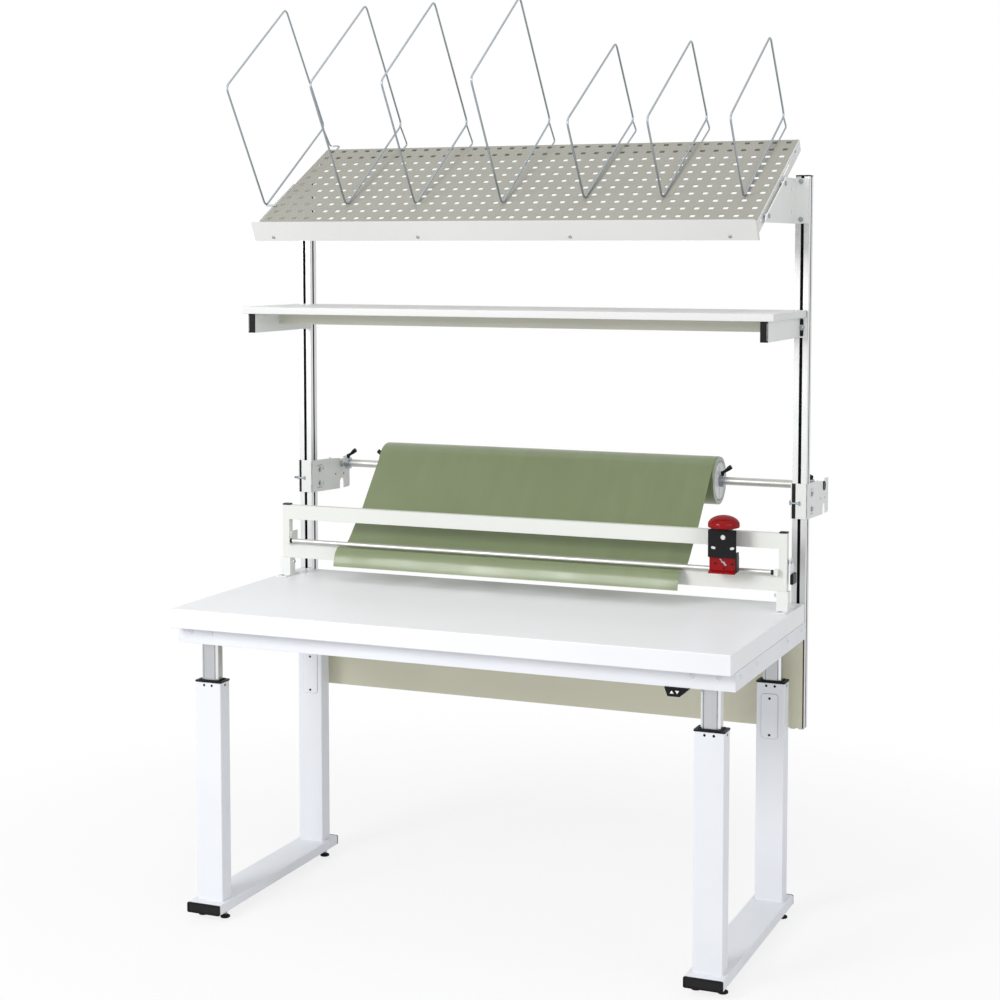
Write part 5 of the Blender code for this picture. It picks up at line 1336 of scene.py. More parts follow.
@dataclass
class ShelfUnit(Assembly):
    """Uprights and the shelf on them.

    Attributes:
        skin: depth from an upright's outside where the painted shade in its slots starts.
        cap_thickness: thickness of the plastic end caps.
        arm_x: inner and outer side of an arm's cap.
        cap_line: inner side of the pale line on an arm's cap.
        plate_x: where the slotted plates start.
        slot: radius of a plate's slot.
        bolt: radius of its bolt's head.
        washer: radius and thickness of its washer.
        bolt_x: middle of a plate's slot and bolt.
    """

    skin: float = 0.0009
    cap_thickness: float = 0.0035
    arm_x: Flat = (0.709, 0.729)
    cap_line: float = 0.7265
    plate_x: float = 0.700
    slot: float = 0.0048
    bolt: float = 0.0052
    washer: Flat = (0.0078, 0.0013)
    bolt_x: float = 0.73325

    def upright(self, node: str) -> None:
        """Make a slotted upright with an end cap, the faces inside its slots painted dark as shade.

        Args:
            node: its CAD node.
        """
        box = extent(node)

        def with_slot_shade(face: Face) -> Finish:
            """Tell a face's finish by how deep it lies in the profile: faces deep in a slot get painted
            shade.

            Args:
                face: the face.

            Returns:
                Its finish.
            """
            spot = face.calc_center_median() - box.middle
            deep = max(abs(spot.x), abs(spot.y)) < box.size.x / 2 - self.skin
            return PAINTED_SHADE if deep and abs(face.normal.z) <= LEVEL_FACE else ANODISED

        top = box.high.z
        # Faces deep in the slots take the near-black finish as painted shade.
        shape = Shape().take(cad_surface(node), ANODISED, 0.0005, choose=with_slot_shade)
        cap = [box.outline(Plane.LEVEL, 0.003)]
        shape.plate(cap, top, top + self.cap_thickness, Plane.LEVEL, BLACK, 0.0007)
        shape.hand_over(node, "profile", "aluminium")

    def board(self) -> None:
        """Make the shelf board with its edge band."""
        box = extent("shelf_board")
        choose = by_facing(SHELF_BOARD, SHELF_BAND)
        shape = Shape().take(closed_block(box.low, box.high), SHELF_BOARD, 0.0014, choose=choose)
        shape.hand_over("shelf_board", "panel", "grey_paint")

    def frame(self) -> None:
        """Make the shelf's arms, plates and rail, with the arms' end caps and bolts."""
        box = extent("shelf_frame")
        choose = by_x(self.plate_x, ARM_GREY, PLATE_GREY)
        shape = Shape().take(cad_surface("shelf_frame"), ARM_GREY, 0.0012, choose=choose)
        plate, front = box.high.y - 0.0032, box.low.y - 0.0026
        bottom, top = box.low.z + 0.0015, box.high.z - 0.0006
        z, reach = box.middle.z, box.size.z / 2 - 0.008
        for side in BOTH:
            inner, outer, line, x = (side * at for at in (*self.arm_x, self.cap_line, self.bolt_x))
            shape.block((inner, front, bottom), (outer, box.low.y + 0.001, top), BLACK, 0.0009)
            high = (line + side * 0.0012, front + 0.001, top - 0.004)
            shape.block((line, front - 0.0003, bottom + 0.004), high, ARM_GREY, 0.0002)
            self.fasteners.add([(x, plate - 0.0039, z)], FRONTWARD, self.bolt, Head.BUTTON, ZINC)
            # The plate's slot is a near-black stadium laid in as painted shade.
            slot = stadium((x, z - reach), (x, z + reach), self.slot)
            shape.plate([slot], plate - 0.0012, plate + 0.001, Plane.FRONT, PAINTED_SHADE)
            washer = [(self.washer[0], height) for height in (0, self.washer[1])]
            shape.lathe(washer, 28, stood((x, plate, z), "X"), ZINC, 0.0003)
        shape.hand_over("shelf_frame", "weldment", "grey_paint")

    def build(self) -> None:
        """Make the uprights and the shelf."""
        for side in SIDES:
            self.upright(f"upright_{side}")
        self.board()
        self.frame()


@dataclass
class TiltedTray(Assembly):
    """Perforated tray with its lip, brackets and wire dividers.

    Attributes:
        half: half of the tray's width.
        front: where its slope starts, as y and z.
        tilt: its slope in radians.
        depth: its length up the slope.
        sheet: thickness of its sheet metal.
        flange: depth of its flanges.
        hole: side of a square perforation.
        hole_corner: radius of a perforation's corners.
        columns: perforations across.
        rows: perforations up the slope.
        row_span: middles of the first and last row up the slope.
        side_margin: from the tray's side to the first column's middle.
        flange_slots: a side flange's slots, as two middles and a radius each.
        flange_hole: its round hole, as middle and radius.
        flange_screw: place of its screw.
        lip_corner: radius of the lip's upper corners.
        lip_screws: places of the lip's screws across.
        lip_screw_z: their height.
        arm: inner side of a bracket's plate.
        plate: thickness of a bracket's plates.
        plate_end: outer end of a bracket's rear plate.
        holes: a bracket's holes, as distance from its rear, from its other edges, and radius.
        bolts: a rear plate's bolts, as place across, distance from its top and from its bottom.
        bolt: radius of the brackets' bolt heads.
        screw: radius of the tray's and the lip's screw heads.
        bushes: places of a bracket's bushes up the slope.
        bush_drop: how far they lie below the sheet.
        bush: radius of a bush.
        nose: height of the front edge of a bracket's plate.
        wire: radius of a divider's loop.
        leg: radius of its leg.
        lift: height of a loop's middle line above the sheet.
        bends: how far from a corner the bends of a loop and of a leg start.
        hook: how far below the sheet a leg is hooked in.
        loops: corners of a tall and a low loop, up the slope and above it.
    """

    half: float = 0.700
    front: Flat = (0.020, 1.8234)
    tilt: float = math.radians(28.06)
    depth: float = 0.4774
    sheet: float = 0.0015
    flange: float = 0.033
    hole: float = 0.0138
    hole_corner: float = 0.0022
    columns: int = 37
    rows: int = 11
    row_span: Flat = (0.042, 0.461)
    side_margin: float = 0.025
    flange_slots: Rings = (
        ((0.2913, -0.0125), (0.3528, -0.0125), 0.00325), ((0.036, -0.013), (0.046, -0.013), 0.0028),
    )
    flange_hole: tuple[Flat, float] = ((0.409, -0.017), 0.0032)
    flange_screw: Flat = (0.418, -0.006)
    lip_corner: float = 0.009
    lip_screws: Spot = (-0.645, -0.214, 0.213, 0.633)
    lip_screw_z: float = 1.7915
    arm: float = 0.7095
    plate: float = 0.003
    plate_end: float = 0.7485
    holes: Spot = (0.040, 0.030, 0.0045)
    bolts: Spot = (0.728, 0.008, 0.011)
    bolt: float = 0.0066
    screw: float = 0.0045
    bushes: Flat = (0.249, 0.069)
    bush_drop: float = 0.0155
    bush: float = 0.0070
    nose: float = 0.012
    wire: float = 0.00275
    leg: float = 0.0024
    lift: float = 0.00305
    bends: Flat = (0.018, 0.010)
    hook: float = 0.018
    loops: Sequence[Sequence[Flat]] = (
        ((0.110, 0.0), (0.075, 0.372), (0.480, 0.4297), (0.530, 0.045)),
        ((0.135, 0.0), (0.112, 0.232), (0.550, 0.260), (0.590, 0.015)),
    )

    @property
    def slope(self) -> Matrix:
        """Return the frame of the tray's sheet: X across, Y up the slope, Z square to it."""
        return Matrix.Translation((0, *self.front)) @ Matrix.Rotation(self.tilt, 4, "X")

    def spot(self, x: float, along: float, above: float) -> Vector:
        """Return a point of the tray's own frame in table coordinates."""
        return self.slope @ Vector((x, along, above))

    @staticmethod
    def perforating_group() -> Group:
        """Make the node group of a sheet with rows of square holes.

        Returns:
            The group.
        """
        sizes = ("Width", "Depth", "Thickness", "Hole", "Corner", "Across", "Along", "Offset")
        kinds = {"Geometry": "Geometry", **dict.fromkeys(sizes, "Float")}
        group = Group("perforated_sheet", {**kinds, "Columns": "Int", "Rows": "Int", "Finish": "Material"})

        def step(kind: str, settings: dict | None = None, **inputs: object) -> bpy.types.Node:
            """Add a geometry node. A word as an input is the group's own input of that name.

            Args:
                kind: the node's type, without its usual beginning.
                settings: attributes of the node itself.
                **inputs: values of its inputs, with _ for a blank.

            Returns:
                The new node.
            """
            given = {key.replace("_", " "): value for key, value in inputs.items()}
            linked = {
                key: group.given[value] if isinstance(value, str) else value
                for key, value in given.items()
            }
            return group.node(f"GeometryNode{kind}", settings, linked)

        outline = step("CurvePrimitiveQuadrilateral", Width="Width", Height="Depth")
        square = step("CurvePrimitiveQuadrilateral", Width="Hole", Height="Hole")
        corner = step("FilletCurve", {"mode": "POLY"}, Count=2, Curve=square, Radius="Corner")
        grid = step("MeshGrid", Size_X="Across", Size_Y="Along", Vertices_X="Columns", Vertices_Y="Rows")
        shift = group.node("ShaderNodeCombineXYZ", inputs={1: group.given["Offset"]})
        middles = step("Transform", Geometry=grid, Translation=shift)
        holes = step("RealizeInstances", Geometry=step("InstanceOnPoints", Points=middles, Instance=corner))
        fill = step("FillCurve", Curve=step("JoinGeometry", Geometry=[holes, outline]))
        raised = step("ExtrudeMesh", {"mode": "FACES"}, Individual=False, Mesh=fill, Offset_Scale="Thickness")
        shell = step("JoinGeometry", Geometry=[raised, step("FlipFaces", Mesh=fill)])
        return group.ended("Sheet", step("MergeByDistance", Distance=MERGE, Geometry=shell))

    def perforated_sheet(self) -> Surface:
        """Return the tray's sheet with its 407 holes, in table coordinates.

        Returns:
            The closed surface.
        """
        first, last = self.row_span
        values = {
            "Width": 2 * (self.half - self.sheet),
            "Depth": self.depth - 2 * self.sheet,
            "Thickness": self.sheet,
            "Hole": self.hole,
            "Corner": self.hole_corner,
            "Across": 2 * (self.half - self.side_margin),
            "Along": last - first,
            "Offset": (first + last) / 2 - self.depth / 2,
            "Columns": self.columns,
            "Rows": self.rows,
            "Finish": TRAY_PAINTED_SHADE_GREY.material(),
        }
        mesh = self.perforating_group().run("tray_sheet", bpy.data.meshes.new("tray_blank"), values)
        work = bmesh.new()
        work.from_mesh(mesh)
        bpy.data.meshes.remove(mesh)
        return moved(work, self.slope @ Matrix.Translation((0, self.depth / 2, -self.sheet)))

    def tray(self) -> None:
        """Make the tray: its perforated sheet and four flanges with their holes."""
        # The sheet and the front and rear walls take the tray's paint darkened as painted shade.
        shape = Shape().take(self.perforated_sheet(), TRAY_PAINTED_SHADE_GREY)

        def at(along: float, above: float) -> Flat:
            """Return a point of the slope as y and z."""
            return tuple(self.spot(0, along, above).yz)

        side_flange = [at(0, 0), at(self.depth, 0), at(self.depth, -self.flange), at(0, -self.flange)]
        slots = [stadium(at(*first), at(*last), radius) for first, last, radius in self.flange_slots]
        hole, radius = self.flange_hole
        rings = [side_flange, slots[0], circle(at(*hole), radius), slots[1]]
        inner = self.half - self.sheet
        for side in BOTH:
            shape.plate(
                rings, side * self.half, side * inner, Plane.SIDE, PLATE_GREY, 0.0012,
                lambda spot: abs(abs(spot.x) - self.half) < 0.0004,
            )
            head = self.spot(side * self.half, *self.flange_screw)
            self.fasteners.add([head], (side, 0, 0), self.screw, Head.BUTTON, ZINC)
        for along in (0, self.depth - self.sheet):
            wall = closed_block((-inner, along, -self.flange), (inner, along + self.sheet, 0))
            shape.take(moved(wall, self.slope), TRAY_PAINTED_SHADE_GREY, 0.0009, lambda spot: abs(spot.x) < inner - 0.001)
        shape.hand_over("tray", "perforated", "grey_paint")

    def lip(self) -> None:
        """Make the front lip as a bar square to the slope, with screws through it."""
        box = extent("tray_lip")
        lean, corner = math.tan(self.tilt), self.lip_corner
        (left, bottom), (right, top) = box.corners(Plane.FRONT)
        outline = arc((right - corner, top - corner), corner, 0, 90, 8)
        outline += arc((left + corner, top - corner), corner, 90, 180, 8) + [(left, bottom), (right, bottom)]
        bar = flat_plate([outline], box.low.y, box.high.y, Plane.FRONT)
        for vertex in bar.verts:
            vertex.co.y += (self.front[1] - vertex.co.z) * lean
        Shape().take(bar, LIP_GREY, 0.0014).hand_over("tray_lip", "bar", "grey_paint")
        y = box.low.y + (self.front[1] - self.lip_screw_z) * lean
        facing = (0, -math.cos(self.tilt), -math.sin(self.tilt))
        spots = [(x, y, self.lip_screw_z) for x in self.lip_screws]
        self.fasteners.add(spots, facing, self.screw, Head.BUTTON, ZINC)

    def bracket(self, node: str) -> None:
        """Make a tray bracket from a folded plate, with its bushes and bolts.

        Args:
            node: its CAD node.
        """
        side = side_of(node)
        screws = partial(self.fasteners.add, radius=self.bolt, head=Head.BOLT, finish=ZINC)
        (front, bottom), (rear, top) = extent(node).corners(Plane.SIDE)
        nose = bottom + self.nose
        shoulder = front + (top - nose) / math.tan(self.tilt)
        rings = [[(front, bottom), (rear, bottom), (rear, top), (shoulder, top), (front, nose)]]
        inset, margin, radius = self.holes
        rings += [circle((rear - inset, z), radius) for z in (bottom + margin, top - margin)]
        arm, outside = side * self.arm, side * (self.arm + self.plate)
        shape = Shape().plate(rings, arm, outside, Plane.SIDE, PLATE_GREY, 0.0007)
        rear_plate = rear - self.plate
        shape.block((arm, rear_plate, bottom), (side * self.plate_end, rear, top), PLATE_GREY, 0.0009)
        start = self.half + 0.0003
        bush = [(self.bush - 0.0002, 0), (self.bush, 0.0006), (self.bush, self.arm - start)]
        for along in self.bushes:
            seat = self.spot(side * start, along, -self.bush_drop)
            shape.lathe(bush, 24, stood(seat, "Y", side), ZINC)
            screws([self.spot(outside, along, -self.bush_drop)], (side, 0, 0))
        bolt_x, below, above = self.bolts
        screws([(side * bolt_x, rear_plate, z) for z in (top - below, bottom + above)], FRONTWARD)
        shape.hand_over(node, "plate", "grey_paint")

    def divider(self, number: int) -> None:
        """Make a wire divider: a loop and a leg hooked into the rear flange.

        Args:
            number: its number from the left. The first four have the tall loop.
        """
        node = f"divider_{number}"
        x = extent(node).low.x + self.wire
        loop = self.loops[number > 4]
        lift, (loop_bend, leg_bend), drop = self.lift, self.bends, -self.hook
        corners = [self.spot(x, along, above + lift) for along, above in loop]
        shape = Shape().wire(bent(corners, loop_bend, True), self.wire, WIRE_ZINC, True, 14)
        (first, foot), (rear, height) = loop[0], loop[-1]
        leg_x = 0.010 - self.half if x < -self.half else x
        hook = rear + 0.008
        ends = [(x, rear - 0.009, height + lift + 0.0045), (x, hook, drop), (leg_x, hook, drop)]
        if leg_x == x:
            ends.pop()
        leg = [self.spot(*end) for end in (*ends, (leg_x, self.depth - 0.0104, drop))]
        shape.wire(bent(leg, leg_bend, False), self.leg, WIRE_ZINC)
        if leg_x != x:
            peg = [self.spot(end, first + 0.0045, foot + lift) for end in (x, leg_x)]
            shape.wire(peg, self.leg, WIRE_ZINC)
        shape.hand_over(node, "wire", "zinc")

    def build(self) -> None:
        """Make the tray and everything on it."""
        self.tray()
        self.lip()
        for side in SIDES:
            self.bracket(f"tray_bracket_{side}")
        for number in range(1, 8):
            self.divider(number)


@dataclass
class FilmRoll(Assembly):
    """Shaft, spool, wound film, levers and the brackets that carry them.

    Attributes:
        shaft: radius of the shaft.
        journal: radius of its journals.
        collar: radius of its clamp collars.
        collar_half: half of a collar's width.
        outer_collars: middles of the collars at the brackets.
        flange: radius of the spool's flanges.
        core: radius of the spool's tube.
        dish: radius and depth along a flange's face, from its bore outward.
        layers: steps in which the film's layers are made.
        blade: reach, height, half width and half thickness along a lever's blade.
        blade_lean: lean of the blade's rings in degrees.
        plate: thickness of a bracket's plate.
        bracket_front: front edge of a bracket's plate.
        bracket_z: lower and upper edge of its legs, from the shaft's middle.
        clear: gap between a bracket and its upright.
        hub: rings of a lever's hub.
        thread: radii of the stud's thread.
        pitch: pitch of that thread.
        washer: radius and thickness of the bolts' washers.
        bolt: radius of the bolts' heads.
        index: step and radius of the small index holes.
        bands: widths of the black band on the left and on the right bracket, painted shade in the clamp's
            gap.
        studs: how far the studs stand out on the left and on the right.
        stud_drop: how far they lie below the shaft.
        bolts_y: place of the bracket's bolts.
        body: the CAD body of the roll.
    """

    shaft: float = 0.011
    journal: float = 0.0125
    collar: float = 0.017
    collar_half: float = 0.007
    outer_collars: Flat = (-0.687, 0.718)
    flange: float = 0.0515
    core: float = 0.0377
    dish: Rings = (
        (0.0113, 0), (0.0185, 0), (0.0190, 0.0012), (0.0195, 0.0016), (0.0470, 0.0016), (0.0478, 0.0004),
        (0.0490, 0), (0.0509, 0), (0.0515, 0.0008), (0.0515, 0.0036), (0.0509, 0.0040), (0.0113, 0.0040),
    )
    layers: int = 16
    blade: Rings = (
        (0.0, 0.0055, 0.0040, 0.0042), (0.009, 0.0105, 0.0042, 0.0042), (0.017, 0.0170, 0.0056, 0.0064),
        (0.0246, 0.0228, 0.0054, 0.0064),
    )
    blade_lean: float = 34
    plate: float = 0.003
    bracket_front: float = 0.3507
    bracket_z: Flat = (-0.068, 0.025)
    clear: float = 0.0003
    hub: Rings = (
        (0.0042, 0), (0.0048, 0.0012), (0.0055, 0.002), (0.0055, 0.0075), (0.0045, 0.009), (0, 0.009),
    )
    thread: Flat = (0.0028, 0.0032)
    pitch: float = 0.0007
    washer: Flat = (0.0088, 0.0009)
    bolt: float = 0.0067
    index: Flat = (0.0062, 0.0019)
    bands: Flat = (0.0068, 0.0098)
    studs: Flat = (0.017, 0.0057)
    stud_drop: float = 0.027
    bolts_y: float = 0.400
    body: str = "roll"

    @property
    def middle(self) -> Vector:
        """Return the middle of the shaft."""
        return extent("roll_shaft").middle

    @property
    def axis(self) -> Matrix:
        """Return the place of a shape turned round the shaft."""
        return stood((0, self.middle.y, self.middle.z), "Y")

    def collars_x(self) -> list[float]:
        """Return the middles of the four clamp collars, from the left.

        Returns:
            Their places across.
        """
        spool, half = extent("film_spool"), 0.0073
        left, right = self.outer_collars
        return [left, spool.low.x - half, spool.high.x + half, right]

    def make_shaft(self) -> None:
        """Make the shaft with its journals and slit clamp collars."""
        box, _, y, z = extent("roll_shaft"), *self.middle
        left, right, soft, half = box.low.x, box.high.x, 0.0007, self.collar_half
        rings = [
            (0, left), (self.journal - soft, left), (self.journal, left + soft), (self.journal, left + 0.012),
            (self.shaft, left + 0.0122), (self.shaft, right - 0.0102), (self.journal, right - 0.010),
            (self.journal, right - soft), (self.journal - soft, right), (0, right),
        ]
        shape = Shape().lathe(rings, 40, self.axis, ROD_STEEL, choose=by_x(right - 0.0105, ROD_STEEL, BLACK))
        inner, edge = self.shaft + 0.0002, 0.001
        for x in self.collars_x():
            collar = [
                (inner, x - half), (self.collar - edge, x - half), (self.collar, x - half + edge),
                (self.collar, x + half - edge), (self.collar - edge, x + half), (inner, x + half),
            ]
            shape.lathe(collar, 36, self.axis, ZINC)
            # A near-black block in each collar's slit is painted shade.
            low = (x - half * 0.98, y - 0.0008, z - self.collar - 0.0001)
            shape.block(low, (x + half * 0.98, y + 0.0008, z - self.shaft), PAINTED_SHADE, 0)
        shape.hand_over("roll_shaft", "turned", "zinc", self.body)

    def make_spool(self) -> None:
        """Make the spool: a tube with a dished and ribbed flange at each end."""
        box = extent("film_spool")
        bore, left, right = self.core - 0.004, box.low.x + 0.002, box.high.x - 0.002
        tube = [(bore, left), (self.core, left), (self.core, right), (bore, right)]
        shape = Shape().lathe(tube, 48, self.axis, WHITE_PLASTIC)
        for face, inward in ((box.low.x, 1), (box.high.x, -1)):
            rings = [(radius, face + inward * depth) for radius, depth in self.dish]
            shape.lathe(rings, 64, self.axis, WHITE_PLASTIC)
            low, high = (0.0188, -0.0011, face + inward * 0.0004), (0.0476, 0.0011, face + inward * 0.0018)
            for step in range(6):
                turn = self.axis @ Matrix.Rotation(step * math.pi / 3, 4, "Z")
                shape.take(moved(closed_block(low, high), turn), WHITE_PLASTIC, 0.0004)
        shape.hand_over("film_spool", "moulding", "white_plastic", self.body)

    def make_film(self) -> None:
        """Make the wound film, whose layers stand slightly unevenly at both ends."""
        box = extent("film_roll")
        radius, bore = box.size.z / 2, self.core + 0.0003
        flush = box.low.x - extent("film_spool").low.x - 0.0003
        rings = []
        for end, inward in ((box.low.x, 1), (box.high.x, -1)):
            face = []
            for layer in range(self.layers + 1):
                height = bore + (radius - 0.0010 - bore) * layer / self.layers
                depth = 0.0027 * noise.noise(Vector((layer * 0.73, end * 9, 2.0))) ** 2 + 0.0001
                out = flush if height > self.flange + 0.0006 else 0.0
                face.append((height, end + inward * (depth - out)))
            face.append((radius - 0.0002, end + inward * (0.0007 - flush)))
            face.append((radius, end + inward * (0.0018 - flush)))
            rings += face[::inward]

        def facing(face: Face) -> Finish:
            """Tell a face's finish: the roll's ends show the edges of the layers."""
            return FILM if abs(face.normal.x) < 0.3 else WOUND_FILM

        shape = Shape().lathe(rings, 120, self.axis, WOUND_FILM, choose=facing)
        shape.hand_over("film_roll", "wound", "green_film", self.body)

    def lever(self, name: str, x: float) -> None:
        """Make a wing lever on a collar: a stepped hub and a blade that widens to its tip.

        Args:
            name: which lever it is.
            x: where its collar stands.
        """
        node = f"wing_lever_{name}"
        box, y = extent(node), self.middle.y
        base = box.low.z
        out = 1 if box.high.x - x > x - box.low.x else -1
        rings = [(radius, base + height) for radius, height in self.hub]
        shape = Shape().lathe(rings, 24, Matrix.Translation((x, y, 0)), BLACK)
        lean = math.radians(self.blade_lean)
        turns = [2 * math.pi * number / 12 for number in range(12)]
        blade = [
            [
                (
                    x + out * (reach - tall * math.sin(turn) * math.sin(lean)),
                    y + wide * math.cos(turn),
                    base + height + tall * math.sin(turn) * math.cos(lean),
                )
                for turn in turns
            ]
            for reach, height, wide, tall in self.blade
        ]
        shape.take(skinned(blade), BLACK, 0.0006)
        shape.hand_over(node, "moulding", "black_plastic", f"lever_{name}")

    def bracket_outline(self) -> list[Flat]:
        """Return a roll bracket's outline, with the shaft's notch and the hook slot.

        Returns:
            The outline's points, as y and z.
        """
        _, y, z = self.middle
        rear, bottom, corner = y + 0.050, z - 0.076, 0.006
        notch, hook = 0.01303, 0.013
        return [
            (self.bracket_front, z + self.bracket_z[0]),
            (y - hook, bottom),
            *arc((y, z - 0.045 - hook), hook, 180, 0, 10),
            (y + hook, bottom),
            *arc((rear - corner, bottom + corner), corner, -90, 0),
            *arc((rear - corner, z + 0.012), corner, 0, 90),
            (y + notch, z + 0.018),
            *arc((y, z), notch, 0, -180, 18),
            (y - notch, z + 0.0145),
            (0.4716, z + 0.0195), (0.4700, z + 0.0225), (0.4652, z + 0.0228), (0.4636, z + 0.0200),
            (self.bracket_front, z + self.bracket_z[1]),
        ]

    def bracket(self, node: str) -> None:
        """Make a roll bracket with its index holes, bolts, clamp strip and stud.

        Args:
            node: its CAD node.
        """
        z, right = self.middle.z, side_of(node) > 0
        upright = extent(f"upright_{node.rsplit('_', 1)[1]}")
        arm, strip = upright.high.x + self.clear, upright.low.x - self.clear
        rear = upright.low.y - self.clear
        front, (bottom, top) = rear - self.plate, (z + offset for offset in self.bracket_z)
        bolts = (z - 0.006, z - 0.046)
        holes = [((0.500, 1.092), 0.0030), ((0.552, 1.089), 0.0030)]
        for bolt, row in zip(bolts, (z + 0.0065, z - 0.0585)):
            apart, radius = self.index
            holes += [((self.bolts_y + step * apart, row), radius) for step in (-2, -1, 0, 1, 2)]
            holes += [((0.4215, bolt), 0.0023), ((0.4225, (bolt + row) / 2), 0.0018)]
        outside = arm + self.plate
        rings = [self.bracket_outline(), *(circle(spot, radius, 12) for spot, radius in holes)]
        shape = Shape().plate(rings, arm, outside, Plane.SIDE, PLATE_GREY, 0.0005)
        # Near-black discs set inside the holes are painted shade.
        for spot, radius in holes:
            shape.plate([circle(spot, radius + 0.0002, 12)], arm, arm + 0.0026, Plane.SIDE, PAINTED_SHADE)
        band = self.bands[right]
        edge = strip + band
        shape.block((edge, front, bottom), (outside, rear, top), PLATE_GREY, 0.0009)
        shape.block((strip - self.plate, front, bottom), (strip, front + 0.030, top), PLATE_GREY, 0.0009)
        # A black block fills the clamp's gap as painted shade.
        low = (strip - 0.0001, front + 0.0006, bottom + 0.0004)
        shape.block(low, (edge + 0.0005, rear, top - 0.0004), RUBBER, 0)
        screw_z = z - self.stud_drop
        bolt = [(0.0030, 0), (0.0030, band + 0.012), (0.0056, band + 0.0122, HEXAGON)]
        bolt += [(0.0056, band + 0.0168, HEXAGON), (0, band + 0.0170)]
        shape.lathe(bolt, 24, stood((strip - 0.004, front + 0.0014, screw_z), "Y"), ZINC, 0.0003)
        stud = stood((strip - self.plate, front + 0.008, screw_z), "Y", -1)
        nut = [(0.0078, 0), (0.0078, 0.0010), (0.0058, 0.0011, HEXAGON), (0.0058, 0.0046, HEXAGON)]
        shape.lathe([*nut, (0.0052, 0.0052), (0, 0.0052)], 24, stud, ZINC)
        length = self.studs[right]
        count = max(4, round((length - 0.001) / self.pitch))
        thread = [
            (self.thread[step % 2], 0.001 + (length - 0.0012) * step / (count - 1))
            for step in range(count)
        ]
        shape.lathe([(0, 0.001), *thread, (0, length - 0.0001)], 16, stud, ZINC)
        heads = [(outside, self.bolts_y, height) for height in bolts]
        self.fasteners.add(heads, (1, 0, 0), self.bolt, Head.BOLT, ZINC)
        for head in heads:
            washer = [(self.washer[0], height) for height in (0, self.washer[1])]
            shape.lathe(washer, 28, stood(head, "Y"), ZINC, 0.0002)
        shape.hand_over(node, "plate", "grey_paint")

    def build(self) -> None:
        """Make the roll and its brackets."""
        self.make_shaft()
        self.make_spool()
        self.make_film()
        for name, x in zip(("left_bracket", "left_hub", "right_hub", "right_bracket"), self.collars_x()):
            self.lever(name, x)
        for side in SIDES:
            self.bracket(f"roll_bracket_{side}")


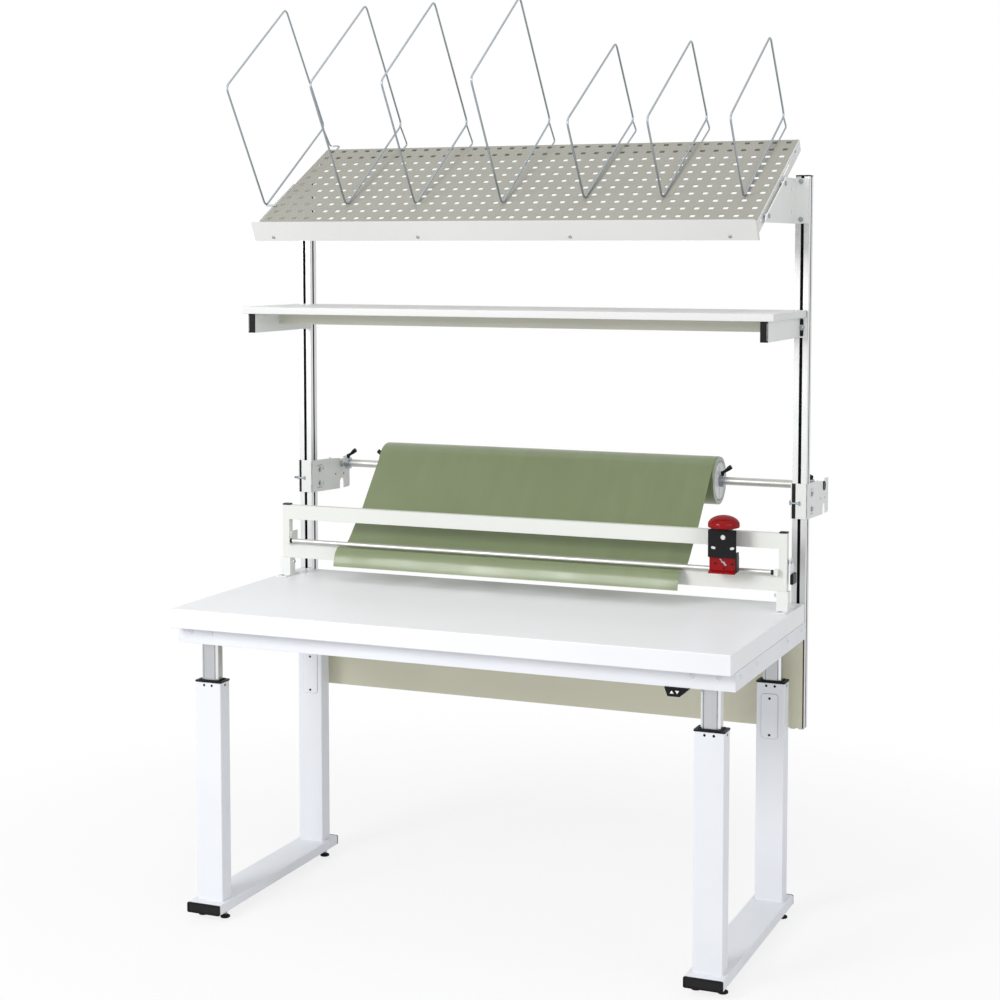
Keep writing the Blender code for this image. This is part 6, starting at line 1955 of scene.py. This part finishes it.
@dataclass
class Cutter(Assembly):
    """Cutter frame, its sockets, film rod, clamp lever and sliding carriage.

    Attributes:
        cap_height: height of the posts' plastic caps.
        post_x: middle of the right post.
        post_half: half of a post's width.
        screws: radii of the base plates' and of the clamp screws' heads.
        screws_y: places of a base plate's screws, from its middle.
        socket_y: middle of a base plate.
        rod: radius of the film rod.
        rod_end: where the rod ends.
        rod_dark: where its dark end starts.
        tab_x: inner and outer side of the tab that holds it.
        pivot: place of the clamp lever's pivot, as y and z.
        carriage_front: front of the carriage's plate.
        carriage_width: width of the plate.
        carriage_plate: thickness of the plate.
        holes: the plate's round openings, as middle, radius and chords.
        slots: the middles of its two slots' ends.
        slot: radius of these slots.
        rail_z: upper and lower end of the carriage's hook on the rail.
        side_screws: heights of the screws in its side flange.
        stem: radius, lower and upper end of the knob's stem.
        windows: middle and radius of the pale discs behind the plate's openings.
        open_side: how far the carriage's core stays back from the plate's right edge.
        shoe_front: front of the blade shoe.
        shoe_holes: places of its dark holes, as x and z.
        blade: outline of its blade.
    """

    cap_height: float = 0.0042
    post_x: float = 0.7235
    post_half: float = 0.0105
    screws: Flat = (0.0052, 0.0045)
    screws_y: Flat = (-0.029, 0.031)
    socket_y: float = 0.225
    rod: float = 0.0065
    rod_end: float = 0.7022
    rod_dark: float = 0.6960
    tab_x: Flat = (0.7035, 0.7145)
    pivot: Flat = (0.235, 0.9581)
    carriage_front: float = 0.165
    carriage_width: float = 0.075
    carriage_plate: float = 0.0022
    holes: Rings = (((0.5794, 1.0224), 0.0065, 24), ((0.580, 0.996), 0.0016, 12))
    slots: Rings = (
        ((0.5515, 0.9950), (0.5565, 0.9940)), ((0.6015, 0.9945), (0.6065, 0.9955)),
    )
    slot: float = 0.0036
    rail_z: Flat = (1.0333, 1.0123)
    side_screws: Flat = (0.977, 0.948)
    stem: Spot = (0.0145, 1.0300, 1.0420)
    windows: Rings = (((0.5794, 1.0224), 0.0068), ((0.554, 0.9945), 0.0075), ((0.604, 0.995), 0.0075))
    open_side: float = 0.0300
    shoe_front: float = 0.172
    shoe_holes: Sequence[Flat] = ((0.559, 0.953), (0.603, 0.953), (0.5816, 0.9417))
    blade: Sequence[Flat] = (
        (0.5690, 0.9660), (0.5730, 0.9660), (0.5775, 0.9590), (0.5840, 0.9590), (0.5835, 0.9560),
        (0.5890, 0.9500), (0.5840, 0.9480), (0.5790, 0.9550), (0.5745, 0.9570), (0.5735, 0.9610),
    )

    def make_frame(self) -> None:
        """Make the welded frame with the posts' caps."""
        top = extent("cutter_frame").high.z
        shape = Shape().take(cad_surface("cutter_frame"), WARM_WHITE, 0.0010)
        for side in BOTH:
            low, high = (side * self.post_x + end * self.post_half for end in BOTH)
            shape.block((low, CUTTER_Y[0], top), (high, CUTTER_Y[1], top + self.cap_height), BLACK, 0.0009)
        shape.hand_over("cutter_frame", "weldment", "white_paint")

    def make_socket(self, node: str) -> None:
        """Make a post socket with its base plate's screws and clamp screw.

        Args:
            node: its CAD node.
        """
        side, top = side_of(node), extent(node).low.z + 0.003
        large, small = self.screws
        heads = [(side * self.post_x, self.socket_y + offset, top) for offset in self.screws_y]
        self.fasteners.add(heads, (0, 0, 1), large, Head.BUTTON, ZINC)
        screw = (side * (self.post_x - 0.015 - 0.0058), 0.230, 0.8707)
        self.fasteners.add([screw], (-side, 0, 0), small, Head.BUTTON, ZINC)
        Shape().take(cad_surface(node), PLATE_GREY, 0.0006).hand_over(node, "weldment", "grey_paint")

    def make_rod(self) -> None:
        """Make the film rod with its dark ends and the tabs that hold it."""
        box = extent("cutter_rod")
        rings = [(self.rod, x) for x in (-self.rod_end, -self.rod_dark, self.rod_dark, self.rod_end)]
        choose = by_x(self.rod_dark, ROD_STEEL, BLACK)
        shape = Shape().lathe(rings, 32, stood((0, ROD_Y, box.middle.z), "Y"), ROD_STEEL, choose=choose)
        for side in BOTH:
            inner, outer = (side * x for x in self.tab_x)
            high = (outer, box.high.y, box.high.z)
            shape.block((inner, box.low.y, box.low.z), high, WARM_WHITE, 0.0012)
        shape.hand_over("cutter_rod", "ground", "zinc")

    def make_clamp_lever(self) -> None:
        """Make the clamp lever: a painted plate, a moulded grip and its pivot stud."""
        box, (y, z) = extent("clamp_lever"), self.pivot
        inner = self.post_x + self.post_half + 0.0043
        outline = [(y - 0.007, z - 0.033), (y + 0.032, z - 0.033), (y + 0.032, z - 0.013)]
        outline += arc((y + 0.004, z + 0.004), 0.006, 35, 90) + arc((y - 0.001, z + 0.004), 0.006, 90, 180)
        shape = Shape().plate([outline], inner, inner + 0.003, Plane.SIDE, COOL_WHITE, 0.0007)
        stud = [(0.0050, 0), (0.0050, inner - box.low.x + 0.0005)]
        shape.lathe(stud, 24, stood((box.low.x, y, z), "Y"), ZINC)
        right, bottom = box.high.x, box.low.z
        shape.block((inner + 0.0001, y, bottom), (right, y + 0.037, bottom + 0.028), BLACK, 0.0022)
        for step in range(5):
            at = y + 0.007 + step * 0.0058
            low = (right - 0.0008, at - 0.0008, bottom + 0.005)
            shape.block(low, (right - 0.0001, at + 0.0008, bottom + 0.023), RUBBER, 0.0002)
        body = "clamp_lever_body"
        self.fasteners.add([(inner + 0.003, y, z)], (1, 0, 0), 0.0050, Head.BUTTON, ZINC, body)
        shape.hand_over("clamp_lever", "arm", "black_plastic", body)

    def make_carriage(self) -> None:
        """Make the carriage's body with its pierced front plate and side flange."""
        box = extent("carriage_body")
        left, front, top = box.low.x, self.carriage_front, box.high.z
        right, back, bottom = left + self.carriage_width, front + self.carriage_plate, top - 0.0723
        rings = [
            rounded((left, top - 0.0724), (right, top), 0.002),
            *(circle(*hole) for hole in self.holes),
            *(stadium(*slot, self.slot) for slot in self.slots),
        ]
        shape = Shape().plate(rings, front, back, Plane.FRONT, BLACK, 0.0005)
        rail_front, rail_rear = CUTTER_Y[0] - 0.0003, CUTTER_Y[1] + 0.0003
        over, hook = self.rail_z
        profile = [
            (back, bottom), (rail_front, bottom), (rail_front, over), (rail_rear, over), (rail_rear, hook),
            (rail_rear + 0.004, hook), (rail_rear + 0.004, top), (back, top),
        ]
        shape.plate([profile], left + 0.0030, right - self.open_side, Plane.SIDE, BLACK, 0.0010)
        for (x, z), radius in self.windows:
            shape.lathe([(radius, 0), (radius, 0.0010)], 24, stood((x, back + 0.0004, z), "X"), WHITE_PLASTIC)
        shape.block((right - 0.0004, box.low.y, box.low.z), (box.high.x, 0.1790, 0.9850), BLACK, 0.0010)
        radius, *heights = self.stem
        stem = Matrix.Translation((extent("carriage_knob").middle.x, 0.181, 0))
        shape.lathe([(radius, height) for height in heights], 28, stem, BLACK, 0.0006)
        shape.hand_over("carriage_body", "moulding", "black_plastic", "carriage")
        heads = [(box.high.x, 0.170, z) for z in self.side_screws]
        self.fasteners.add(heads, (1, 0, 0), 0.0028, Head.PLUG, BLACK, "carriage")

    def make_shoe(self) -> None:
        """Make the blade shoe with its flared lip, holes and blade."""
        box, front = extent("carriage_shoe"), self.shoe_front
        (lip, bottom), (rear, top) = box.corners(Plane.SIDE)
        profile = [
            (front, top), (front, bottom + 0.0095), (lip + 0.001, bottom + 0.0035), (lip, bottom + 0.002),
            (lip + 0.0008, bottom), (lip + 0.006, bottom + 0.0002), (rear, bottom + 0.004), (rear, top),
        ]
        shape = Shape().plate([profile], box.low.x, box.high.x, Plane.SIDE, RED, 0.0009)
        for x, z in self.shoe_holes:
            rings = [(0.0030, 0), (0.0030, 0.0005), (0, 0.0003)]
            shape.lathe(rings, 18, stood((x, front + 0.0002, z), "X"), BLACK)
        shape.plate([self.blade], front - 0.0011, front + 0.0002, Plane.FRONT, ZINC, 0.0002)
        shape.hand_over("carriage_shoe", "moulding", "red_plastic", "carriage")

    def make_knob(self) -> None:
        """Make the mushroom knob with its rolled rim."""
        box = extent("carriage_knob")
        radius, bottom = box.size.x / 2, box.low.z
        rim, steps = bottom + 0.004, 12
        dome = rim + 0.008
        rings = [
            (0, bottom), (0.0150, bottom), (0.0200, bottom + 0.0012), (radius - 0.0035, rim),
            (radius - 0.0012, rim + 0.0008), (radius, rim + 0.003), (radius, rim + 0.0075),
        ]
        for step in range(1, steps):
            turn = math.pi / 2 * step / steps
            rings.append((radius * math.cos(turn), dome + (box.high.z - dome) * math.sin(turn)))
        place = Matrix.Translation((box.middle.x, box.middle.y, 0))
        shape = Shape().lathe([*rings, (0, box.high.z)], 56, place, RED)
        shape.hand_over("carriage_knob", "moulding", "red_plastic", "carriage")

    def build(self) -> None:
        """Make the cutter and its carriage."""
        self.make_frame()
        for side in SIDES:
            self.make_socket(f"cutter_socket_{side}")
        self.make_rod()
        self.make_clamp_lever()
        self.make_carriage()
        self.make_shoe()
        self.make_knob()


def held(value: float) -> float:
    """Return a value held between zero and one."""
    return min(1.0, max(0.0, value))


@dataclass
class FilmWeb:
    """Film hanging from the roll through the cutter.

    Attributes:
        sheet: thickness of the film.
        sway: largest wave of its free lengths.
        waves: share, fineness across, change from row to row and start of each wave.
        still: distance from the shaft and from the rod up to which it lies still, each with the
            length over which its waves grow.
        columns: how many faces it has across.
        inset: how far its sides lie inside the roll's ends.
        roll: radius of the wound film.
        wrap: how far it lies round the roll before it leaves it, in degrees.
        flare: how much wider its left side is on the roll.
        sag: the place behind the cutter where it hangs, measured from the rod.
        hang: how it hangs behind, under and in front of the rod, as places measured from the rod.
    """

    sheet: float = 0.0007
    sway: float = 0.0022
    waves: Rings = ((1.0, 4.5, 0.018, 1.7), (0.35, 15.0, 0.03, 8.2))
    still: Sequence[Flat] = ((0.068, 0.05), (0.016, 0.03))
    columns: int = 90
    inset: float = 0.002
    roll: float = 0.066
    wrap: int = 90
    flare: float = 0.0045
    sag: Flat = (0.145, 0.0795)
    hang: tuple[Flat, ...] = (
        (0.1025, 0.0420), (0.0620, 0.0035), (0.0400, -0.0080), (0.0200, -0.0088), (0.0, -0.0088),
        (-0.0100, -0.0112), (-0.0200, -0.0200), (-0.0275, -0.0330), (-0.0320, -0.0470), (-0.0345, -0.0590),
    )

    @property
    def shaft(self) -> Vector:
        """Return the shaft's middle as y and z."""
        return extent("roll_shaft").middle.yz

    @property
    def rod(self) -> Vector:
        """Return the rod's middle as y and z."""
        return Vector((ROD_Y, extent("cutter_rod").middle.z))

    def corners(self) -> list[Vector]:
        """Return the film's middle line, as y and z, from the roll to its free end.

        Returns:
            The line's corners.
        """
        sag = self.rod + Vector(self.sag)
        clear = self.roll + 0.0003 + self.sheet / 2
        towards = sag - self.shaft
        angle = math.atan2(towards.y, towards.x) - math.acos(clear / towards.length)
        turns = [angle + math.radians(step) for step in range(-self.wrap, 1, 6)]
        around = [self.shaft + clear * Vector((math.cos(turn), math.sin(turn))) for turn in turns]
        return [*around, sag] + [self.rod + Vector(offset) for offset in self.hang]

    def middle_line(self) -> list[tuple[Vector, float]]:
        """Return closely spaced points of the film's line, each with how freely it may wave.

        Returns:
            The points, each with a share between zero and one.
        """
        corners = self.corners()
        leaves = len(corners) - len(self.hang) - 2
        line: list[Vector] = []
        for number, (start, end) in enumerate(zip(corners, corners[1:])):
            before = corners[max(number - 1, 0)]
            after = corners[min(number + 2, len(corners) - 1)]
            steps = max(2, round((end - start).length / 0.006))
            for t in (step / steps for step in range(steps)):
                curve = 0.5 * (
                    2 * start + (end - before) * t + (2 * before - 5 * start + 4 * end - after) * t * t
                    + (3 * start - before - 3 * end + after) * t * t * t
                )
                line.append(start.lerp(end, t) if number <= leaves else curve)
        line.append(corners[-1])
        firm = [(spot, *reach) for spot, reach in zip((self.shaft, self.rod), self.still)]
        return [
            (point, math.prod(held(((point - spot).length - near) / grow) for spot, near, grow in firm))
            for point in line
        ]

    def build(self) -> None:
        roll = extent("film_roll")
        left, right = roll.low.x + self.inset, roll.high.x - self.inset
        line = self.middle_line()
        points = [point for point, _ in line]
        sag_y = (self.rod + Vector(self.sag)).x
        length = sum((after - before).length for before, after in zip(points, points[1:]))
        under, over = range(self.columns + 1), range(self.columns, -1, -1)
        rings = []
        for number, (point, free) in enumerate(line):
            along = (points[min(number + 1, len(line) - 1)] - points[max(number - 1, 0)]).normalized()
            out = Vector((-along.y, along.x))
            flare = self.flare * held((point.x - sag_y) / (points[0].x - sag_y))
            ring = []
            for face, columns in ((-0.5, under), (0.5, over)):
                for column in columns:
                    x = left - flare + (right - left + flare) * column / self.columns
                    wave = sum(
                        share * noise.noise(Vector((x * across, number * change, start)))
                        for share, across, change, start in self.waves
                    )
                    ring.append((x, *(point + out * (self.sway * free * wave + face * self.sheet))))
            rings.append(ring)
        work = skinned(rings, capped=False)
        work.verts.ensure_lookup_table()
        count = len(rings[0])
        for first in (0, len(work.verts) - count):
            end = work.verts[first:first + count]
            for column in range(self.columns):
                work.faces.new((end[column], end[-1 - column], end[-2 - column], end[column + 1]))
        piece = Shape().take(work, FILM).hand_over("film_web", "sheet", "green_film")
        LOG.info("film web is %.3f by %.3f m flat", right - left, length)


@dataclass
class Studio:
    """Camera, floor and plain light.

    Attributes:
        camera_at: the camera's place in the shared frame.
        pitch: how far the camera looks down, in degrees.
        yaw: how far it is turned to the left, in radians.
        lens: focal length in millimetres.
        shift: how far its picture is shifted down, as a share of its width.
        sensor: width of its sensor in millimetres.
        even_light: colour of the world's even light.
        even_strength: its strength.
        floor_colour: colour of the floor.
        floor_radius: where the floor has faded out.
        floor_z: height of the floor's surface.
        lamps: name, place, height of the aim, size and power of each lamp.
    """

    camera_at: tuple[float, float, float] = (1.9641, -4.7466, 1.7675)
    pitch: float = 4.229
    yaw: float = 0.39554
    lens: float = 69.988
    shift: float = -0.11
    sensor: float = 36
    even_light: Colour = (0.97, 0.985, 1.0)
    even_strength: float = 0.56
    floor_colour: Colour = (0.86, 0.86, 0.87)
    floor_radius: float = 3.4
    floor_z: float = -0.0006
    lamps: Sequence[tuple] = (
        ("key_light", (-1.9, -4.2, 2.9), 1.0, 1.8, 125),
        ("fill_light", (3.6, -2.0, 2.4), 1.0, 2.4, 26),
        ("top_light", (0.1, -0.6, 4.6), 0.9, 2.2, 22),
    )

    def camera(self) -> None:
        """Set up the camera at the photograph's place."""
        data = bpy.data.cameras.new("studio_camera")
        data.sensor_width = self.sensor
        data.lens = self.lens
        data.shift_y = self.shift
        camera = placed("studio_camera", data)
        camera.location = self.camera_at
        camera.rotation_euler = (math.pi / 2 - math.radians(self.pitch), 0, self.yaw)
        bpy.context.scene.camera = camera

    def world(self) -> None:
        """Make the world: an even light, and white where it is seen."""
        world = bpy.data.worlds.new("studio_world")
        bpy.context.scene.world = world
        world.use_nodes = True
        wiring = Wiring(world.node_tree)
        even = {0: (*self.even_light, 1), 1: self.even_strength}
        light = wiring.node("ShaderNodeBackground", inputs=even)
        white = wiring.node("ShaderNodeBackground", inputs={0: (1, 1, 1, 1), 1: 1.0})
        mix = wiring.node("ShaderNodeMixShader", inputs={0: wiring.seen_directly(), 1: light, 2: white})
        wiring.node("ShaderNodeOutputWorld", inputs={0: mix})

    def floor(self) -> None:
        """Make the white floor, which keeps the table's shadow and fades out all round."""
        mesh = bpy.data.meshes.new("studio_floor")
        reach = self.floor_radius * 1.2
        corners = [(-reach, -reach), (reach, -reach), (reach, reach), (-reach, reach)]
        mesh.from_pydata([(*corner, self.floor_z) for corner in corners], [], [(0, 1, 2, 3)])
        floor = placed("studio_floor", mesh)
        bench = Bench("studio_floor_white")
        plain = bench.node("ShaderNodeBsdfDiffuse", inputs={0: (*self.floor_colour, 1)})
        glow = bench.node("ShaderNodeEmission", inputs={0: (1, 1, 1, 1), 1: 1.0})
        clear = bench.node("ShaderNodeBsdfTransparent")
        radius = bench.measured("LENGTH", bench.place)["Value"]
        near = bench.span(radius, (0.9, 2.2), (0.80, 1.0))
        share = bench.mathed("MULTIPLY", bench.seen_directly(), near)
        lit = bench.node("ShaderNodeMixShader", inputs={0: share, 1: plain, 2: glow})
        fade = bench.span(radius, (self.floor_radius * 0.55, self.floor_radius))
        faded = bench.node("ShaderNodeMixShader", inputs={0: fade, 1: lit, 2: clear})
        bench.node("ShaderNodeOutputMaterial", inputs={"Surface": faded})
        mesh.materials.append(bench.material)

    @staticmethod
    def lamp(name: str, spot: Spot, aim_z: float, size: float, power: float) -> None:
        """Add a soft lamp that faces the middle of the table.

        Args:
            name: its name.
            spot: where it stands.
            aim_z: height of the point that it faces.
            size: the side of its square.
            power: its power in watts.
        """
        data = bpy.data.lights.new(name, "AREA")
        data.size = size
        data.energy = power
        lamp = placed(name, data)
        lamp.location = spot
        lamp.rotation_euler = (Vector((0, 0, aim_z)) - Vector(spot)).to_track_quat("-Z", "Y").to_euler()
        lamp.visible_camera = False

    def build(self) -> None:
        """Set up the whole studio."""
        bpy.context.scene.view_settings.view_transform = "Standard"
        self.camera()
        self.world()
        self.floor()
        for lamp in self.lamps:
            self.lamp(*lamp)


def main() -> None:
    """Make the table piece by piece, then the studio, and note the sizes."""
    logging.basicConfig(level=logging.INFO, format="%(name)s: %(message)s")
    fasteners = Fasteners()
    for kind in (FloorBase, Worktop, ShelfUnit, TiltedTray, FilmRoll, Cutter):
        kind(fasteners).build()
        LOG.info("%s done", kind.__name__)
    FilmWeb().build()
    fasteners.build()
    Studio().build()


if __name__ == "__main__":
    main()
